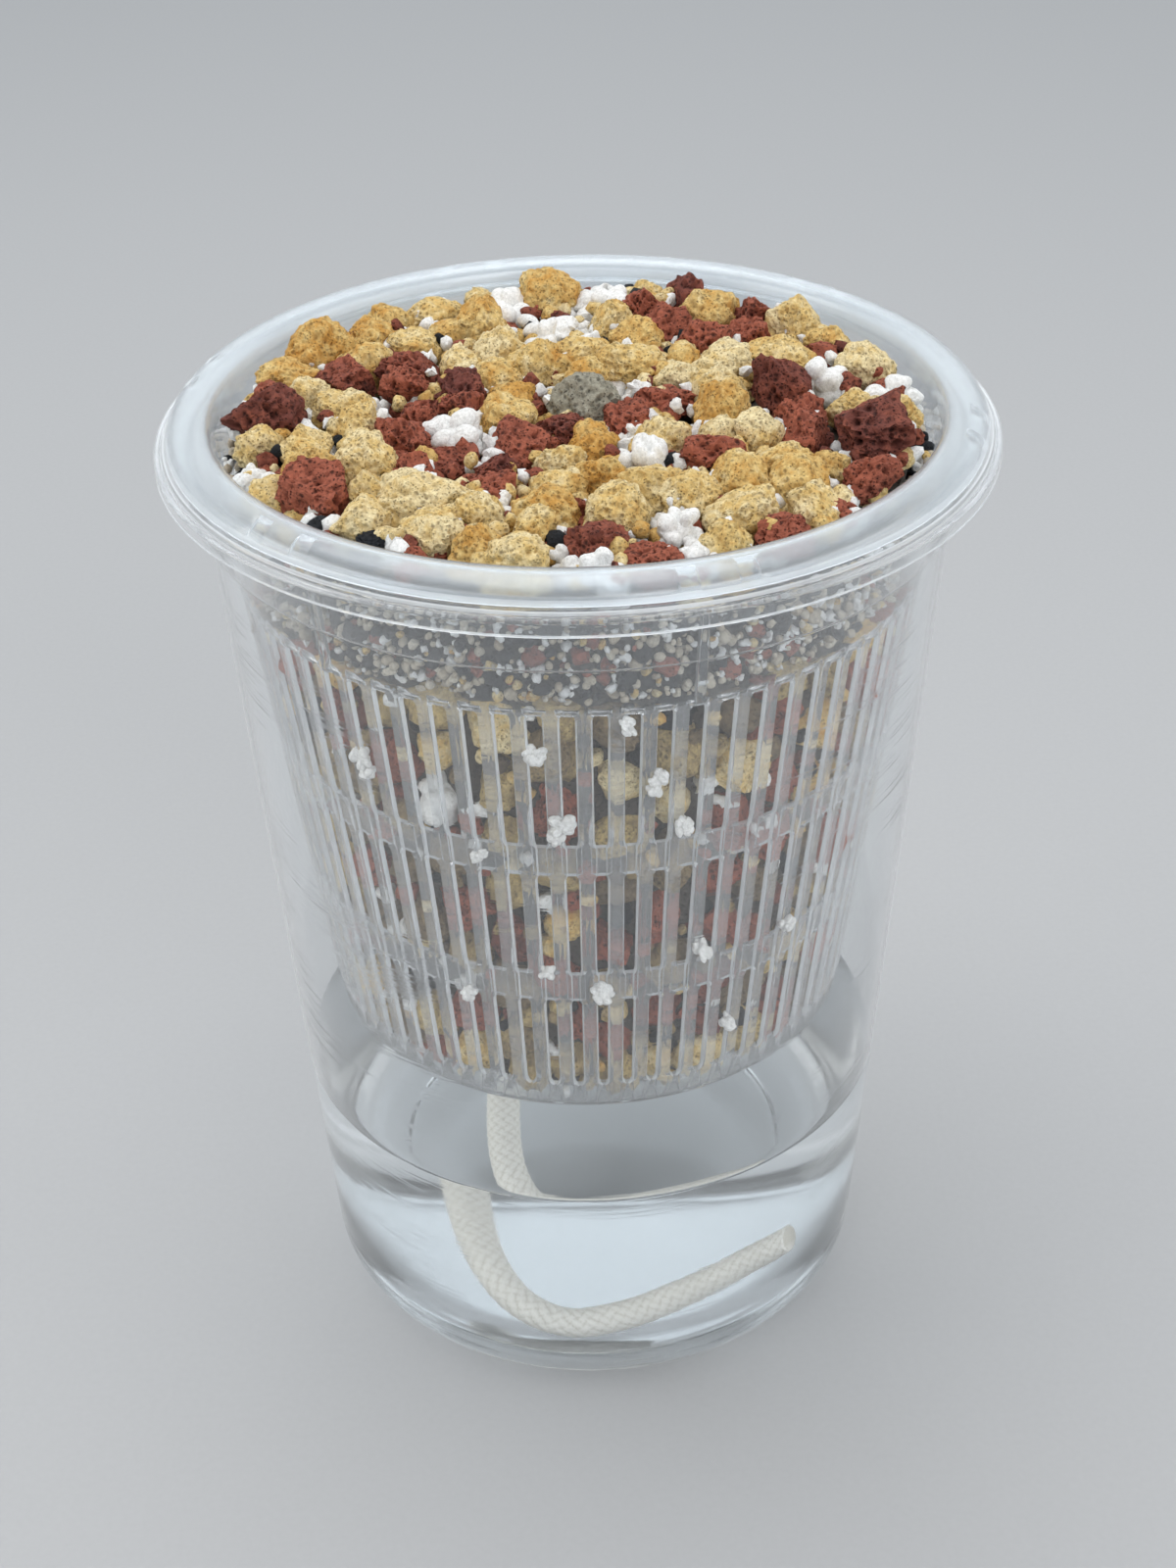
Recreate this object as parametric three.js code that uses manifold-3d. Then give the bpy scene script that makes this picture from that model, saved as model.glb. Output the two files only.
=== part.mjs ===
// Self-watering pot. A slotted net basket of gritty growing mix hangs by its lip in a clear round cup,
// water stands in the bottom of the cup, and a cord wick draws the water up into the mix.
// Millimetres, +Z up. The origin is on the table under the middle of the cup, and -Y is the front.
import * as THREE from "three";
import { mergeVertices } from "three/addons/utils/BufferGeometryUtils.js";
import Module from "manifold-3d";

const wasm = await Module();
wasm.setup();

// Clearances
const SEAT_GAP = 0.3; // between pieces that rest on, in or against each other
const STONE_GAP = 0.4; // between neighbouring stones, and between a stone and the basket

// Reservoir cup
const CUP_HEIGHT = 146; // table to the flange's top
const CUP_WALL = 0.8;
const CUP_BASE_RADIUS = 42.3; // outside wall line carried down to the table
const CUP_NECK_RADIUS = 52.45; // outside wall just under the stacking step
const CUP_CORNER = 8; // outside corner between wall and floor
const CUP_FOOT_WIDTH = 3.5; // flat ring that stands on the table
const CUP_PUSH_UP = 1.2; // rise of the floor inside the foot ring
const CUP_STEP_DROP = 11; // flange's top down to the stacking step
const CUP_STEP_OUT = 0.6;
const FLANGE_REACH = 6.3; // neck to the flange's outside
const FLANGE_SKIRT = 3; // height of the turned-down edge
const FLANGE_SHOULDER = 1.2; // bevel on the flange's outer top edge

// Slotted basket
const BASKET_DEPTH = 92.1; // lip's seat down to the underside of the floor
const BASKET_WALL = 0.9;
const BASKET_BASE_RADIUS = 39.1; // outside wall line at the underside of the floor
const BASKET_NECK_RADIUS = 51.4; // outside wall line at the height of the lip's seat
const BASKET_CHAMFER = 1; // outside bottom edge
const LIP_RISE = 3.2; // seat up to the crest of the lip
const LIP_REACH = 5.6; // neck to the lip's outer edge
const LIP_CREST_OUT = 1.5; // neck to the crest
const LIP_BEND = 2; // height of the bend from the crest down to the wall
const COLLAR_HEIGHT = 19.7; // plain band between the lip's seat and the slots
const SLOT_COLUMNS = 72;
const SLOT_TIER_SHARES = [17, 18.5, 22.4]; // lowest tier first
const SLOT_BAND = 4.8; // plain band between two tiers
const SLOT_FOOT = 4.9; // underside of the floor up to the lowest slots
const RIB_WIDTH = 1.4; // bar between two slots
const FLOOR_SLOT_COUNT = 24;
const FLOOR_SLOT_WIDTH = 2.4;
const FLOOR_SLOT_LENGTH = 6;
const FLOOR_SLOT_MARGIN = 4; // outside wall in to the floor slots
const SPACER_COUNT = 6; // ribs that keep the collar central in the cup, each under a pair of notches
const SPACER_ANGLE = -72.5; // degrees from +X to the first
const SPACER_WIDTH = 1.4;
const SPACER_PROUD = 0.9;
const SPACER_DROP = 4; // lip's seat down to the top of a spacer
const NOTCH_WIDTH = 3;
const NOTCH_DEPTH = 0.4;
const NOTCH_PITCH = 8; // between the two notches of a pair
const NOTCH_EDGE = 0.8; // lip's edge in to the notch

// Water, mix and wick
const AIR_GAP = 13.7; // water's surface up to the basket
const MIX_DROP = 3.8; // lip's seat down to the bed of the top layer
const COARSE_PITCH = 9.2; // between neighbouring stones that show behind the slots
const COARSE_PROUD = 3.2; // rise of those stones from the hollows between them
const FINE_PITCH = 6.2; // between neighbouring lumps behind the collar
const FINE_PROUD = 2.2;
const SIDE_WANDER = 0.4; // share of their spacing that the points of a rough side wander
const SIDE_FACES = 0.2; // share of the rise that the stones' faces differ by
const SIDE_HOLLOW = 0.7; // least depth of a hollow, as a share of the rise
const GRIT_SIZES = [8.6, 7.4, 6.4]; // small stones of the top layer, largest laid first
const GRIT_RISE = 3; // height of a small stone, over a share of its size
const GRIT_RISE_SHARE = 0.55;
const GRIT_NESTLE = 0.32; // share of a small stone's size from its middle to the edge of a large stone
const GRIT_CROWD = 0.42; // share of their sizes that two small stones' middles are apart
const GRIT_BED = 1.5; // thickness of the bed that carries the top layer
const GRIT_SPOT_GAP = 1.8; // between neighbouring spots where a small stone is tried
const WICK_DIAMETER = 5.5;
const WICK_SIDES = 10;
const WICK_TAIL_STEPS = 24;
const WICK_CORE_STEPS = 8;
const WICK_EXIT = [-13, 9]; // where the wick goes through the basket's floor
// Middle line of the wick from there: forward to the cup's floor, then up by the front wall to its cut end
const WICK_TAIL_ROUTE = [
  [-13.2, 8.4, 34], [-13.7, 6, 28.5], [-14.1, 2, 24.2], [-14.4, -3.2, 20.6], [-14.5, -9, 17],
  [-14.1, -14.4, 13.9], [-12.9, -18.8, 11], [-10.6, -22.1, 8], [-6.9, -24.4, 5.9], [-3, -25.2, 5.1],
  [0.9, -25, 5.6], [5.8, -24.6, 7], [10.7, -24.5, 9.4], [15.9, -24.7, 12.1], [21.4, -24.9, 15],
  [25, -25.4, 16.6], [28.4, -25.8, 18],
];
// The same wick buried in the coarse mix, with heights above the underside of the basket's floor
const WICK_CORE_ROUTE = [
  [-13, 9, 6], [-12.5, 8.6, 14], [-11, 7.6, 22], [-9, 6.2, 30], [-7.5, 5.2, 38], [-7, 4.8, 46],
];

// Stones of the top layer, as kind: [x, y, length, width, height, turn in degrees], before they settle
const STONES = {
  pumice: [
    [-42, 21, 10, 10, 9, 0], [-22, 41, 10, 7, 6, 10], [-14, 33, 9, 8, 9, 60], [-4, 42, 11, 8, 9, -20],
    [-24, 25, 8, 7, 6, 30], [-6, 17, 9, 8, 8, 0], [-9, 6, 8, 7, 6, 20], [-35, 7, 9, 7, 6, 10],
    [-39, -14, 8, 7, 7, 70], [-28, -15, 9, 8, 8, -40], [-20, -26, 14, 9, 8, 8], [-3, -23, 8, 6, 6, -10],
    [-13, -41, 7, 6, 7, 0], [8, 17, 11, 8, 7, 25], [20, -2, 8, 8, 9, 60], [28, 18, 12, 8, 7, -15],
    [20, 35, 9, 8, 8, 30], [42, 14, 9, 8, 7, 0], [33, -24, 9, 8, 8, 40], [3, -11, 8, 7, 7, 45],
    [24, -10, 7, 7, 8, 0], [15, -27, 9, 7, 7, 0], [5, -32, 9, 8, 8, 50], [18, -41, 7, 6, 7, 30],
    [40, 0, 7, 6, 6, 0], [37, 25, 7, 6, 6, -30],
  ],
  grey_stone: [[2, 2, 10, 9, 9, 20]],
  lava_rock: [
    [-36, 15, 9, 7, 7, 15], [-16, 2, 6, 6, 7, 0], [-28, 12, 7, 7, 7, 40], [-44, 0, 11, 9, 9, -10],
    [-35, -26, 10, 8, 8, 20], [-19, -13, 9, 6, 5, 5], [-11, -17, 6, 6, 6, 0], [11, 4, 10, 7, 6, -10],
    [20, 23, 9, 7, 8, 30], [29, 6, 8, 8, 9, 0], [43, -11, 14, 10, 10, 80], [40, -25, 8, 6, 7, 30],
    [17, -15, 9, 7, 8, -10], [26, -37, 7, 6, 6, 20], [9, -43, 8, 6, 5, 10], [33, -5, 7, 7, 7, 0],
  ],
  perlite: [
    [43, 6, 8, 6, 5, 0], [13, -36, 6, 6, 6, 30], [-5, 31, 8, 6, 5, 0], [-45, -17, 6, 5, 5, 20],
    [9, -15, 7, 6, 8, 60],
  ],
  charcoal: [[1, 28, 5, 4, 4, 0], [-26, -37, 5, 5, 4, 0]],
};
const STONE_BURIED = 0.4; // share of a stone's height that its middle stands above its flat seat
const STONE_ROUGHNESS = { pumice: 0.16, grey_stone: 0.16, lava_rock: 0.26, perlite: 0.2, charcoal: 0.25 };
const GRIT_ROUGHNESS = 0.2;

// Surface colours
const COLOUR = {
  cup: 0xdfe7ec, basket: 0xe8edf0, water: 0xd3e3ee, wick: 0xece8dc, coarse: 0xa98c62, fine: 0x8d8880,
  grit: 0xb99a72, pumice: 0xc9a869, grey_stone: 0x9a968a, lava_rock: 0x7c3426, perlite: 0xf4f3ef,
  charcoal: 0x232427,
};

// Sizes that follow from the ones above
const TURN = 2 * Math.PI;
const GOLDEN_TURN = Math.PI * (3 - Math.sqrt(5)); // turn from one seed of a sunflower to the next
const CUP_SEGMENTS = 60;
const FILL_SEGMENTS = 48;
const CORNER_STEPS = 4;
const stepHeight = CUP_HEIGHT - CUP_STEP_DROP;
const cupSlope = (CUP_NECK_RADIUS - CUP_BASE_RADIUS) / stepHeight;
const cupSlant = Math.hypot(1, cupSlope);
const flangeRadius = CUP_NECK_RADIUS + FLANGE_REACH;
const cornerRadius = CUP_BASE_RADIUS + cupSlope * CUP_CORNER - cupSlant * CUP_CORNER; // middle of the corner
const footRadius = cornerRadius - CUP_FOOT_WIDTH;
const lipSeat = CUP_HEIGHT + SEAT_GAP;
const basketBottom = lipSeat - BASKET_DEPTH;
const basketFloor = basketBottom + BASKET_WALL;
const basketSlope = (BASKET_NECK_RADIUS - BASKET_BASE_RADIUS) / BASKET_DEPTH;
const lipRadius = BASKET_NECK_RADIUS + LIP_REACH;
const crestRadius = BASKET_NECK_RADIUS + LIP_CREST_OUT;
const collarBottom = lipSeat - COLLAR_HEIGHT;
const waterLevel = basketBottom - AIR_GAP;
const mixTop = lipSeat - MIX_DROP;
const wickRadius = WICK_DIAMETER / 2;
const tailRoute = [[...WICK_EXIT, basketBottom - SEAT_GAP / 2], ...WICK_TAIL_ROUTE];
const coreRises = [[...WICK_EXIT, SEAT_GAP / 2], ...WICK_CORE_ROUTE];
const coreRoute = coreRises.map(([x, y, up]) => [x, y, basketBottom + up]);

// Radius of the cup's wall line at a height, a distance in from its outer face
function cupRadius(z, inset) {
  return CUP_BASE_RADIUS + cupSlope * z - inset * cupSlant;
}

// Radius of the basket's outer wall line at a height
function basketRadius(z) {
  return BASKET_BASE_RADIUS + basketSlope * (z - basketBottom);
}

// Points on part of an ellipse, from one angle to another in degrees
function arc(middleR, middleZ, radiusR, radiusZ, from, to, steps) {
  return Array.from({ length: steps + 1 }, (_, i) => {
    const angle = THREE.MathUtils.degToRad(from + ((to - from) * i) / steps);
    return [middleR + radiusR * Math.cos(angle), middleZ + radiusZ * Math.sin(angle)];
  });
}

// A closed geometry as a solid for joining and cutting
function solid(geometry) {
  const bare = geometry.clone();
  bare.deleteAttribute("normal");
  bare.deleteAttribute("uv");
  const merged = mergeVertices(bare, 1e-4);
  const corners = merged.index.array;
  const kept = [];
  for (let i = 0; i < corners.length; i += 3) {
    const [a, b, c] = corners.slice(i, i + 3);
    if (a !== b && b !== c && c !== a) kept.push(a, b, c);
  }
  return new wasm.Manifold(
    new wasm.Mesh({
      numProp: 3,
      vertProperties: new Float32Array(merged.attributes.position.array),
      triVerts: new Uint32Array(kept),
    }),
  );
}

// A solid back as a geometry to draw
function geometryOf(made) {
  const mesh = made.getMesh();
  const geometry = new THREE.BufferGeometry();
  geometry.setAttribute("position", new THREE.BufferAttribute(mesh.vertProperties, 3));
  geometry.setIndex(new THREE.BufferAttribute(mesh.triVerts, 1));
  geometry.computeVertexNormals();
  return geometry;
}

// A solid turned about the Z axis from its [radius, height] outline
function turned(outline, segments) {
  const points = outline.map(([r, z]) => new THREE.Vector2(r, z));
  return solid(new THREE.LatheGeometry(points, segments).rotateX(Math.PI / 2));
}

// A box with its middle at a radius and height, turned to an angle about the Z axis
function radialBox(alongRadius, across, tall, radius, z, angle) {
  const box = new THREE.BoxGeometry(alongRadius, across, tall);
  return solid(box.translate(radius, 0, z).rotateZ(angle));
}

// A tube along a route, run on past both its ends
function cordTube(route, radius, steps, overrun) {
  const points = route.map(([x, y, z]) => new THREE.Vector3(x, y, z));
  const pushOn = (end, next) => end.addScaledVector(end.clone().sub(next).normalize(), overrun);
  pushOn(points[0], points[1]);
  pushOn(points.at(-1), points.at(-2));
  const section = new THREE.Shape(
    Array.from({ length: WICK_SIDES }, (_, i) => {
      const angle = (TURN * i) / WICK_SIDES;
      return new THREE.Vector2(radius * Math.cos(angle), radius * Math.sin(angle));
    }),
  );
  const extrudePath = new THREE.CatmullRomCurve3(points, false, "centripetal");
  return solid(new THREE.ExtrudeGeometry(section, { steps, extrudePath, bevelEnabled: false }));
}

// The cup: foot ring, raised floor, tapered wall with a stacking step, and a flange with a skirt
function cup() {
  const slant = THREE.MathUtils.radToDeg(Math.atan(cupSlope));
  const flangeUnder = CUP_HEIGHT - CUP_WALL;
  const skirtBottom = CUP_HEIGHT - FLANGE_SKIRT;
  const innerWall = (z) => cupRadius(z, CUP_WALL);
  const outerWall = (z) => cupRadius(z, 0);
  const corner = (inset) =>
    arc(cornerRadius, CUP_CORNER, CUP_CORNER - inset, CUP_CORNER - inset, -90, -slant, CORNER_STEPS);
  return turned(
    [
      [0, CUP_PUSH_UP],
      [footRadius - CUP_PUSH_UP, CUP_PUSH_UP],
      [footRadius, 0],
      ...corner(0),
      [outerWall(stepHeight), stepHeight],
      [outerWall(stepHeight) + CUP_STEP_OUT, stepHeight + CUP_STEP_OUT],
      [outerWall(flangeUnder) + CUP_STEP_OUT, flangeUnder],
      [flangeRadius - CUP_WALL, flangeUnder],
      [flangeRadius - CUP_WALL, skirtBottom],
      [flangeRadius, skirtBottom],
      [flangeRadius, CUP_HEIGHT - FLANGE_SHOULDER],
      [flangeRadius - FLANGE_SHOULDER, CUP_HEIGHT],
      [innerWall(CUP_HEIGHT) + CUP_STEP_OUT, CUP_HEIGHT],
      [innerWall(stepHeight) + CUP_STEP_OUT, stepHeight + CUP_STEP_OUT],
      [innerWall(stepHeight), stepHeight],
      ...corner(CUP_WALL).reverse(),
      [footRadius, CUP_WALL],
      [footRadius - CUP_PUSH_UP, CUP_PUSH_UP + CUP_WALL],
      [0, CUP_PUSH_UP + CUP_WALL],
    ],
    CUP_SEGMENTS,
  );
}

// The basket's plain shell: floor, tapered wall and domed lip
function basketShell() {
  const bend = lipSeat + LIP_RISE - LIP_BEND;
  const reach = lipRadius - crestRadius;
  const inner = (z) => basketRadius(z) - BASKET_WALL;
  const outerBend = crestRadius - basketRadius(bend);
  const innerBend = crestRadius - inner(bend);
  return turned(
    [
      [0, basketBottom],
      [BASKET_BASE_RADIUS - BASKET_CHAMFER, basketBottom],
      [basketRadius(basketBottom + BASKET_CHAMFER), basketBottom + BASKET_CHAMFER],
      ...arc(crestRadius, bend, outerBend, LIP_BEND - BASKET_WALL, 180, 90, 2),
      ...arc(crestRadius, lipSeat, reach - BASKET_WALL, LIP_RISE - BASKET_WALL, 90, 0, 3).slice(1),
      ...arc(crestRadius, lipSeat, reach, LIP_RISE, 0, 90, 4),
      ...arc(crestRadius, bend, innerBend, LIP_BEND, 90, 180, 3).slice(1),
      [inner(basketFloor), basketFloor],
      [0, basketFloor],
    ],
    SLOT_COLUMNS,
  );
}

// Cutters for the slot tiers, whose bars keep one width while the basket narrows
function wallSlots() {
  const bands = SLOT_BAND * (SLOT_TIER_SHARES.length - 1);
  const open = BASKET_DEPTH - COLLAR_HEIGHT - SLOT_FOOT - bands;
  const total = SLOT_TIER_SHARES.reduce((sum, share) => sum + share, 0);
  const cutters = [];
  let bottom = basketBottom + SLOT_FOOT;
  for (const share of SLOT_TIER_SHARES) {
    const tall = (open * share) / total;
    const low = basketRadius(bottom);
    const high = basketRadius(bottom + tall);
    const across = (TURN * low) / SLOT_COLUMNS - RIB_WIDTH;
    const through = high - low + 4 * BASKET_WALL;
    const middle = (low + high - BASKET_WALL) / 2;
    for (let i = 0; i < SLOT_COLUMNS; i += 1) {
      const angle = (TURN * (i + 0.5)) / SLOT_COLUMNS;
      cutters.push(radialBox(through, across, tall, middle, bottom + tall / 2, angle));
    }
    bottom += tall + SLOT_BAND;
  }
  return cutters;
}

// Cutters for the drain slots in the basket's floor
function floorSlots() {
  const radius = BASKET_BASE_RADIUS - FLOOR_SLOT_MARGIN - FLOOR_SLOT_LENGTH / 2;
  return Array.from({ length: FLOOR_SLOT_COUNT }, (_, i) =>
    radialBox(
      FLOOR_SLOT_LENGTH,
      FLOOR_SLOT_WIDTH,
      4 * BASKET_WALL,
      radius,
      basketBottom,
      (TURN * (i + 0.5)) / FLOOR_SLOT_COUNT,
    ),
  );
}

// Angle of a spacer, with its pair of notches above it
function spacerAngle(i) {
  return THREE.MathUtils.degToRad(SPACER_ANGLE) + (TURN * i) / SPACER_COUNT;
}

// Shallow U-shaped notches pressed into the lip's dome, in pairs
function lipNotches() {
  const reach = lipRadius - crestRadius;
  const skin = turned(
    [
      ...arc(crestRadius, lipSeat, reach + NOTCH_DEPTH, LIP_RISE + NOTCH_DEPTH, 0, 90, 4),
      ...arc(crestRadius, lipSeat, reach - NOTCH_DEPTH, LIP_RISE - NOTCH_DEPTH, 90, 0, 4),
      [lipRadius + NOTCH_DEPTH, lipSeat],
    ],
    SLOT_COLUMNS,
  );
  const long = reach - NOTCH_EDGE;
  const half = NOTCH_PITCH / 2 / lipRadius;
  const boxes = [];
  for (let i = 0; i < SPACER_COUNT; i += 1) {
    for (const side of [-half, half]) {
      const angle = spacerAngle(i) + side;
      boxes.push(radialBox(long, NOTCH_WIDTH, 4 * LIP_RISE, crestRadius + long / 2, lipSeat, angle));
    }
  }
  return skin.intersect(wasm.Manifold.union(boxes));
}

// Upright ribs on the outside of the collar
function collarSpacers() {
  const top = lipSeat - SPACER_DROP;
  const tall = top - collarBottom;
  const outer = basketRadius(top) + SPACER_PROUD;
  const inner = basketRadius(collarBottom) - BASKET_WALL / 2;
  const middle = (outer + inner) / 2;
  const ribs = Array.from({ length: SPACER_COUNT }, (_, i) =>
    radialBox(outer - inner, SPACER_WIDTH, tall, middle, collarBottom + tall / 2, spacerAngle(i)),
  );
  const sleeve = turned(
    [
      [basketRadius(collarBottom) - BASKET_WALL / 2, collarBottom],
      [basketRadius(collarBottom) + SPACER_PROUD, collarBottom],
      [basketRadius(top) + SPACER_PROUD, top],
      [basketRadius(top) - BASKET_WALL / 2, top],
      [basketRadius(collarBottom) - BASKET_WALL / 2, collarBottom],
    ],
    SLOT_COLUMNS,
  );
  return sleeve.intersect(wasm.Manifold.union(ribs));
}

function basket() {
  const wickHole = cordTube(coreRoute.slice(0, 2), wickRadius + SEAT_GAP, 1, BASKET_WALL);
  const cutters = [...wallSlots(), ...floorSlots(), lipNotches(), wickHole];
  return basketShell().add(collarSpacers()).subtract(wasm.Manifold.union(cutters));
}

// The water, up to its level, with room for the wick
function water() {
  const slant = THREE.MathUtils.radToDeg(Math.atan(cupSlope));
  const inset = CUP_WALL + SEAT_GAP;
  const body = turned(
    [
      [0, CUP_PUSH_UP + inset],
      [footRadius - CUP_PUSH_UP, CUP_PUSH_UP + inset],
      [footRadius, inset],
      ...arc(cornerRadius, CUP_CORNER, CUP_CORNER - inset, CUP_CORNER - inset, -90, -slant, CORNER_STEPS),
      [cupRadius(waterLevel, inset), waterLevel],
      [0, waterLevel],
    ],
    FILL_SEGMENTS,
  );
  return body.subtract(cordTube(tailRoute, wickRadius + SEAT_GAP, WICK_TAIL_STEPS, SEAT_GAP));
}

// A repeatable run of numbers from 0 to 1
function numbers(seed) {
  let state = seed;
  return () => {
    state = (state * 16807) % 2147483647;
    return state / 2147483647;
  };
}

// Radius of a filling of the basket at a height
function fillRadius(z) {
  return basketRadius(z) - BASKET_WALL - SEAT_GAP;
}

// A filling of the basket between two heights, with stones that stand proud of the hollows round them.
// The side is a net of triangles: every third point is a stone's face, with six hollow points about it.
function roughFill(bottom, top, pitch, proud, seed) {
  const next = numbers(seed);
  const spacing = pitch / Math.sqrt(3);
  const columns = 3 * Math.round((TURN * fillRadius((bottom + top) / 2)) / spacing / 3);
  const rows = Math.round((top - bottom) / (spacing * Math.sqrt(0.75)));
  const points = [];
  for (let row = 0; row <= rows; row += 1) {
    const rises = row > 0 && row < rows ? SIDE_WANDER : 0;
    for (let column = 0; column < columns; column += 1) {
      const isStone = (column - Math.floor(row / 2) - row) % 3 === 0;
      const angle = (TURN * (column + (row % 2) / 2 + SIDE_WANDER * (next() - 0.5))) / columns;
      const z = bottom + ((top - bottom) * (row + rises * (next() - 0.5))) / rows;
      const depth = isStone ? SIDE_FACES * next() : SIDE_HOLLOW + (1 - SIDE_HOLLOW) * next();
      const r = fillRadius(z) - proud * depth;
      points.push(r * Math.cos(angle), r * Math.sin(angle), z);
    }
  }
  const last = columns * (rows + 1);
  points.push(0, 0, bottom, 0, 0, top);
  const corners = [];
  for (let column = 0; column < columns; column += 1) {
    const beside = (column + 1) % columns;
    for (let row = 0; row < rows; row += 1) {
      const low = row * columns;
      const high = low + columns;
      if (row % 2) {
        corners.push(low + column, high + beside, high + column, low + column, low + beside, high + beside);
      } else {
        corners.push(low + column, low + beside, high + column, low + beside, high + beside, high + column);
      }
    }
    corners.push(last, beside, column, last + 1, rows * columns + column, rows * columns + beside);
  }
  const geometry = new THREE.BufferGeometry();
  geometry.setAttribute("position", new THREE.Float32BufferAttribute(points, 3));
  geometry.setIndex(corners);
  return solid(geometry);
}

function coarseMix() {
  const channel = cordTube(coreRoute, wickRadius + SEAT_GAP, WICK_CORE_STEPS, SEAT_GAP);
  const bottom = basketFloor + SEAT_GAP;
  return roughFill(bottom, collarBottom - SEAT_GAP, COARSE_PITCH, COARSE_PROUD, 41).subtract(channel);
}

function fineMix() {
  return roughFill(collarBottom, mixTop - GRIT_BED - SEAT_GAP, FINE_PITCH, FINE_PROUD, 43);
}

// A stone with a flat seat at its own z = 0
function stone(length, width, height, roughness, seed) {
  const next = numbers(seed);
  const ball = new THREE.IcosahedronGeometry(1, 1);
  ball.deleteAttribute("normal");
  ball.deleteAttribute("uv");
  const shape = mergeVertices(ball, 1e-4);
  const place = shape.attributes.position;
  const half = height * (1 - STONE_BURIED);
  for (let i = 0; i < place.count; i += 1) {
    const out = 1 + roughness * (next() - 0.5);
    const z = place.getZ(i) * out * half + height * STONE_BURIED;
    place.setXYZ(i, (place.getX(i) * out * length) / 2, (place.getY(i) * out * width) / 2, Math.max(z, 0));
  }
  shape.computeVertexNormals();
  return shape;
}

// Moves stones apart, and in from the basket's wall, until none touch
function settle(stones) {
  const room = basketRadius(mixTop) - BASKET_WALL - STONE_GAP;
  let touching = true;
  for (let pass = 0; touching && pass < 20 * stones.length; pass += 1) {
    touching = false;
    stones.forEach((a, i) =>
      stones.slice(i + 1).forEach((b) => {
        const apart = b.at.clone().sub(a.at);
        const short = a.reach + b.reach + STONE_GAP - apart.length();
        if (short > 1e-6) {
          touching = true;
          apart.setLength(short / 2);
          a.at.sub(apart);
          b.at.add(apart);
        }
      }),
    );
    stones.forEach((s) => s.at.clampLength(0, room - s.reach));
  }
}

function stoneMeshes() {
  const stones = Object.entries(STONES).flatMap(([kind, rows]) =>
    rows.map(([x, y, length, width, height, turn], i) => ({
      kind, length, width, height, turn,
      name: `${kind}_${String(i + 1).padStart(2, "0")}`,
      at: new THREE.Vector2(x, y),
      reach: (length / 2) * (1 + STONE_ROUGHNESS[kind] / 2),
    })),
  );
  settle(stones);
  return stones.map((s, i) => {
    const shape = stone(s.length, s.width, s.height, STONE_ROUGHNESS[s.kind], 101 + 17 * i);
    const mesh = new THREE.Mesh(shape, finish(COLOUR[s.kind], 0.95));
    mesh.name = s.name;
    mesh.position.set(s.at.x, s.at.y, mixTop + SEAT_GAP);
    mesh.rotation.z = THREE.MathUtils.degToRad(s.turn);
    return mesh;
  });
}

// A large stone where it lies, with the middle and the half width of its box
function largeStone(mesh) {
  mesh.updateMatrixWorld(true);
  const shape = mesh.geometry.clone().applyMatrix4(mesh.matrixWorld);
  shape.computeBoundingBox();
  const middle = shape.boundingBox.getCenter(new THREE.Vector3());
  const half = shape.boundingBox.getSize(new THREE.Vector3()).divideScalar(2);
  return { shape, middle, half, x: middle.x, y: middle.y, reach: (half.x + half.y) / 2 };
}

// The room that a large stone needs: its own shape, swollen by the gap round it
function largeStoneRoom({ shape, middle, half }) {
  const { x, y, z } = middle;
  const grown = half.clone().addScalar(STONE_GAP).divide(half);
  return solid(shape.clone().translate(-x, -y, -z).scale(grown.x, grown.y, grown.z).translate(x, y, z));
}

// A small stone set in the bed
function gritStone({ x, y, size, seed }) {
  const next = numbers(seed);
  const rise = GRIT_RISE + GRIT_RISE_SHARE * size;
  const shape = new THREE.IcosahedronGeometry(1, 0).rotateZ(TURN * next()).rotateX(TURN * next());
  shape.deleteAttribute("normal");
  shape.deleteAttribute("uv");
  const merged = mergeVertices(shape, 1e-4);
  const place = merged.attributes.position;
  for (let i = 0; i < place.count; i += 1) {
    const out = 1 - GRIT_ROUGHNESS * next();
    const half = (size / 2) * out;
    const z = rise * (STONE_BURIED + (1 - STONE_BURIED) * out * place.getZ(i));
    place.setXYZ(i, half * place.getX(i), half * place.getY(i), Math.max(z, 0));
  }
  return solid(merged.translate(x, y, mixTop - GRIT_BED / 2));
}

// Spots for the small stones between the large ones, tried from the middle outwards, largest first
function gritSpots(large) {
  const room = fillRadius(mixTop);
  const tries = (Math.PI * room ** 2) / GRIT_SPOT_GAP ** 2;
  const made = [];
  for (const size of GRIT_SIZES) {
    for (let i = 0; i < tries; i += 1) {
      const out = GRIT_SPOT_GAP * Math.sqrt((i + 0.5) / Math.PI);
      const x = out * Math.cos(i * GOLDEN_TURN);
      const y = out * Math.sin(i * GOLDEN_TURN);
      const apart = (other) => Math.hypot(other.x - x, other.y - y);
      const nestles = large.every((other) => apart(other) > other.reach + GRIT_NESTLE * size);
      const fits = made.every((other) => apart(other) > GRIT_CROWD * (other.size + size));
      if (out + size / 2 < room && nestles && fits) {
        made.push({ x, y, size, seed: 211 + 13 * made.length });
      }
    }
  }
  return made;
}

// The small stones that fill the top layer, set in the bed that carries the large ones
function topGrit(large) {
  const bottom = mixTop - GRIT_BED;
  const bed = turned(
    [
      [0, bottom],
      [fillRadius(bottom), bottom],
      [fillRadius(mixTop), mixTop],
      [0, mixTop],
    ],
    SLOT_COLUMNS,
  );
  const small = wasm.Manifold.union(gritSpots(large).map(gritStone));
  return bed.add(small.subtract(wasm.Manifold.union(large.map(largeStoneRoom))));
}

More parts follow.
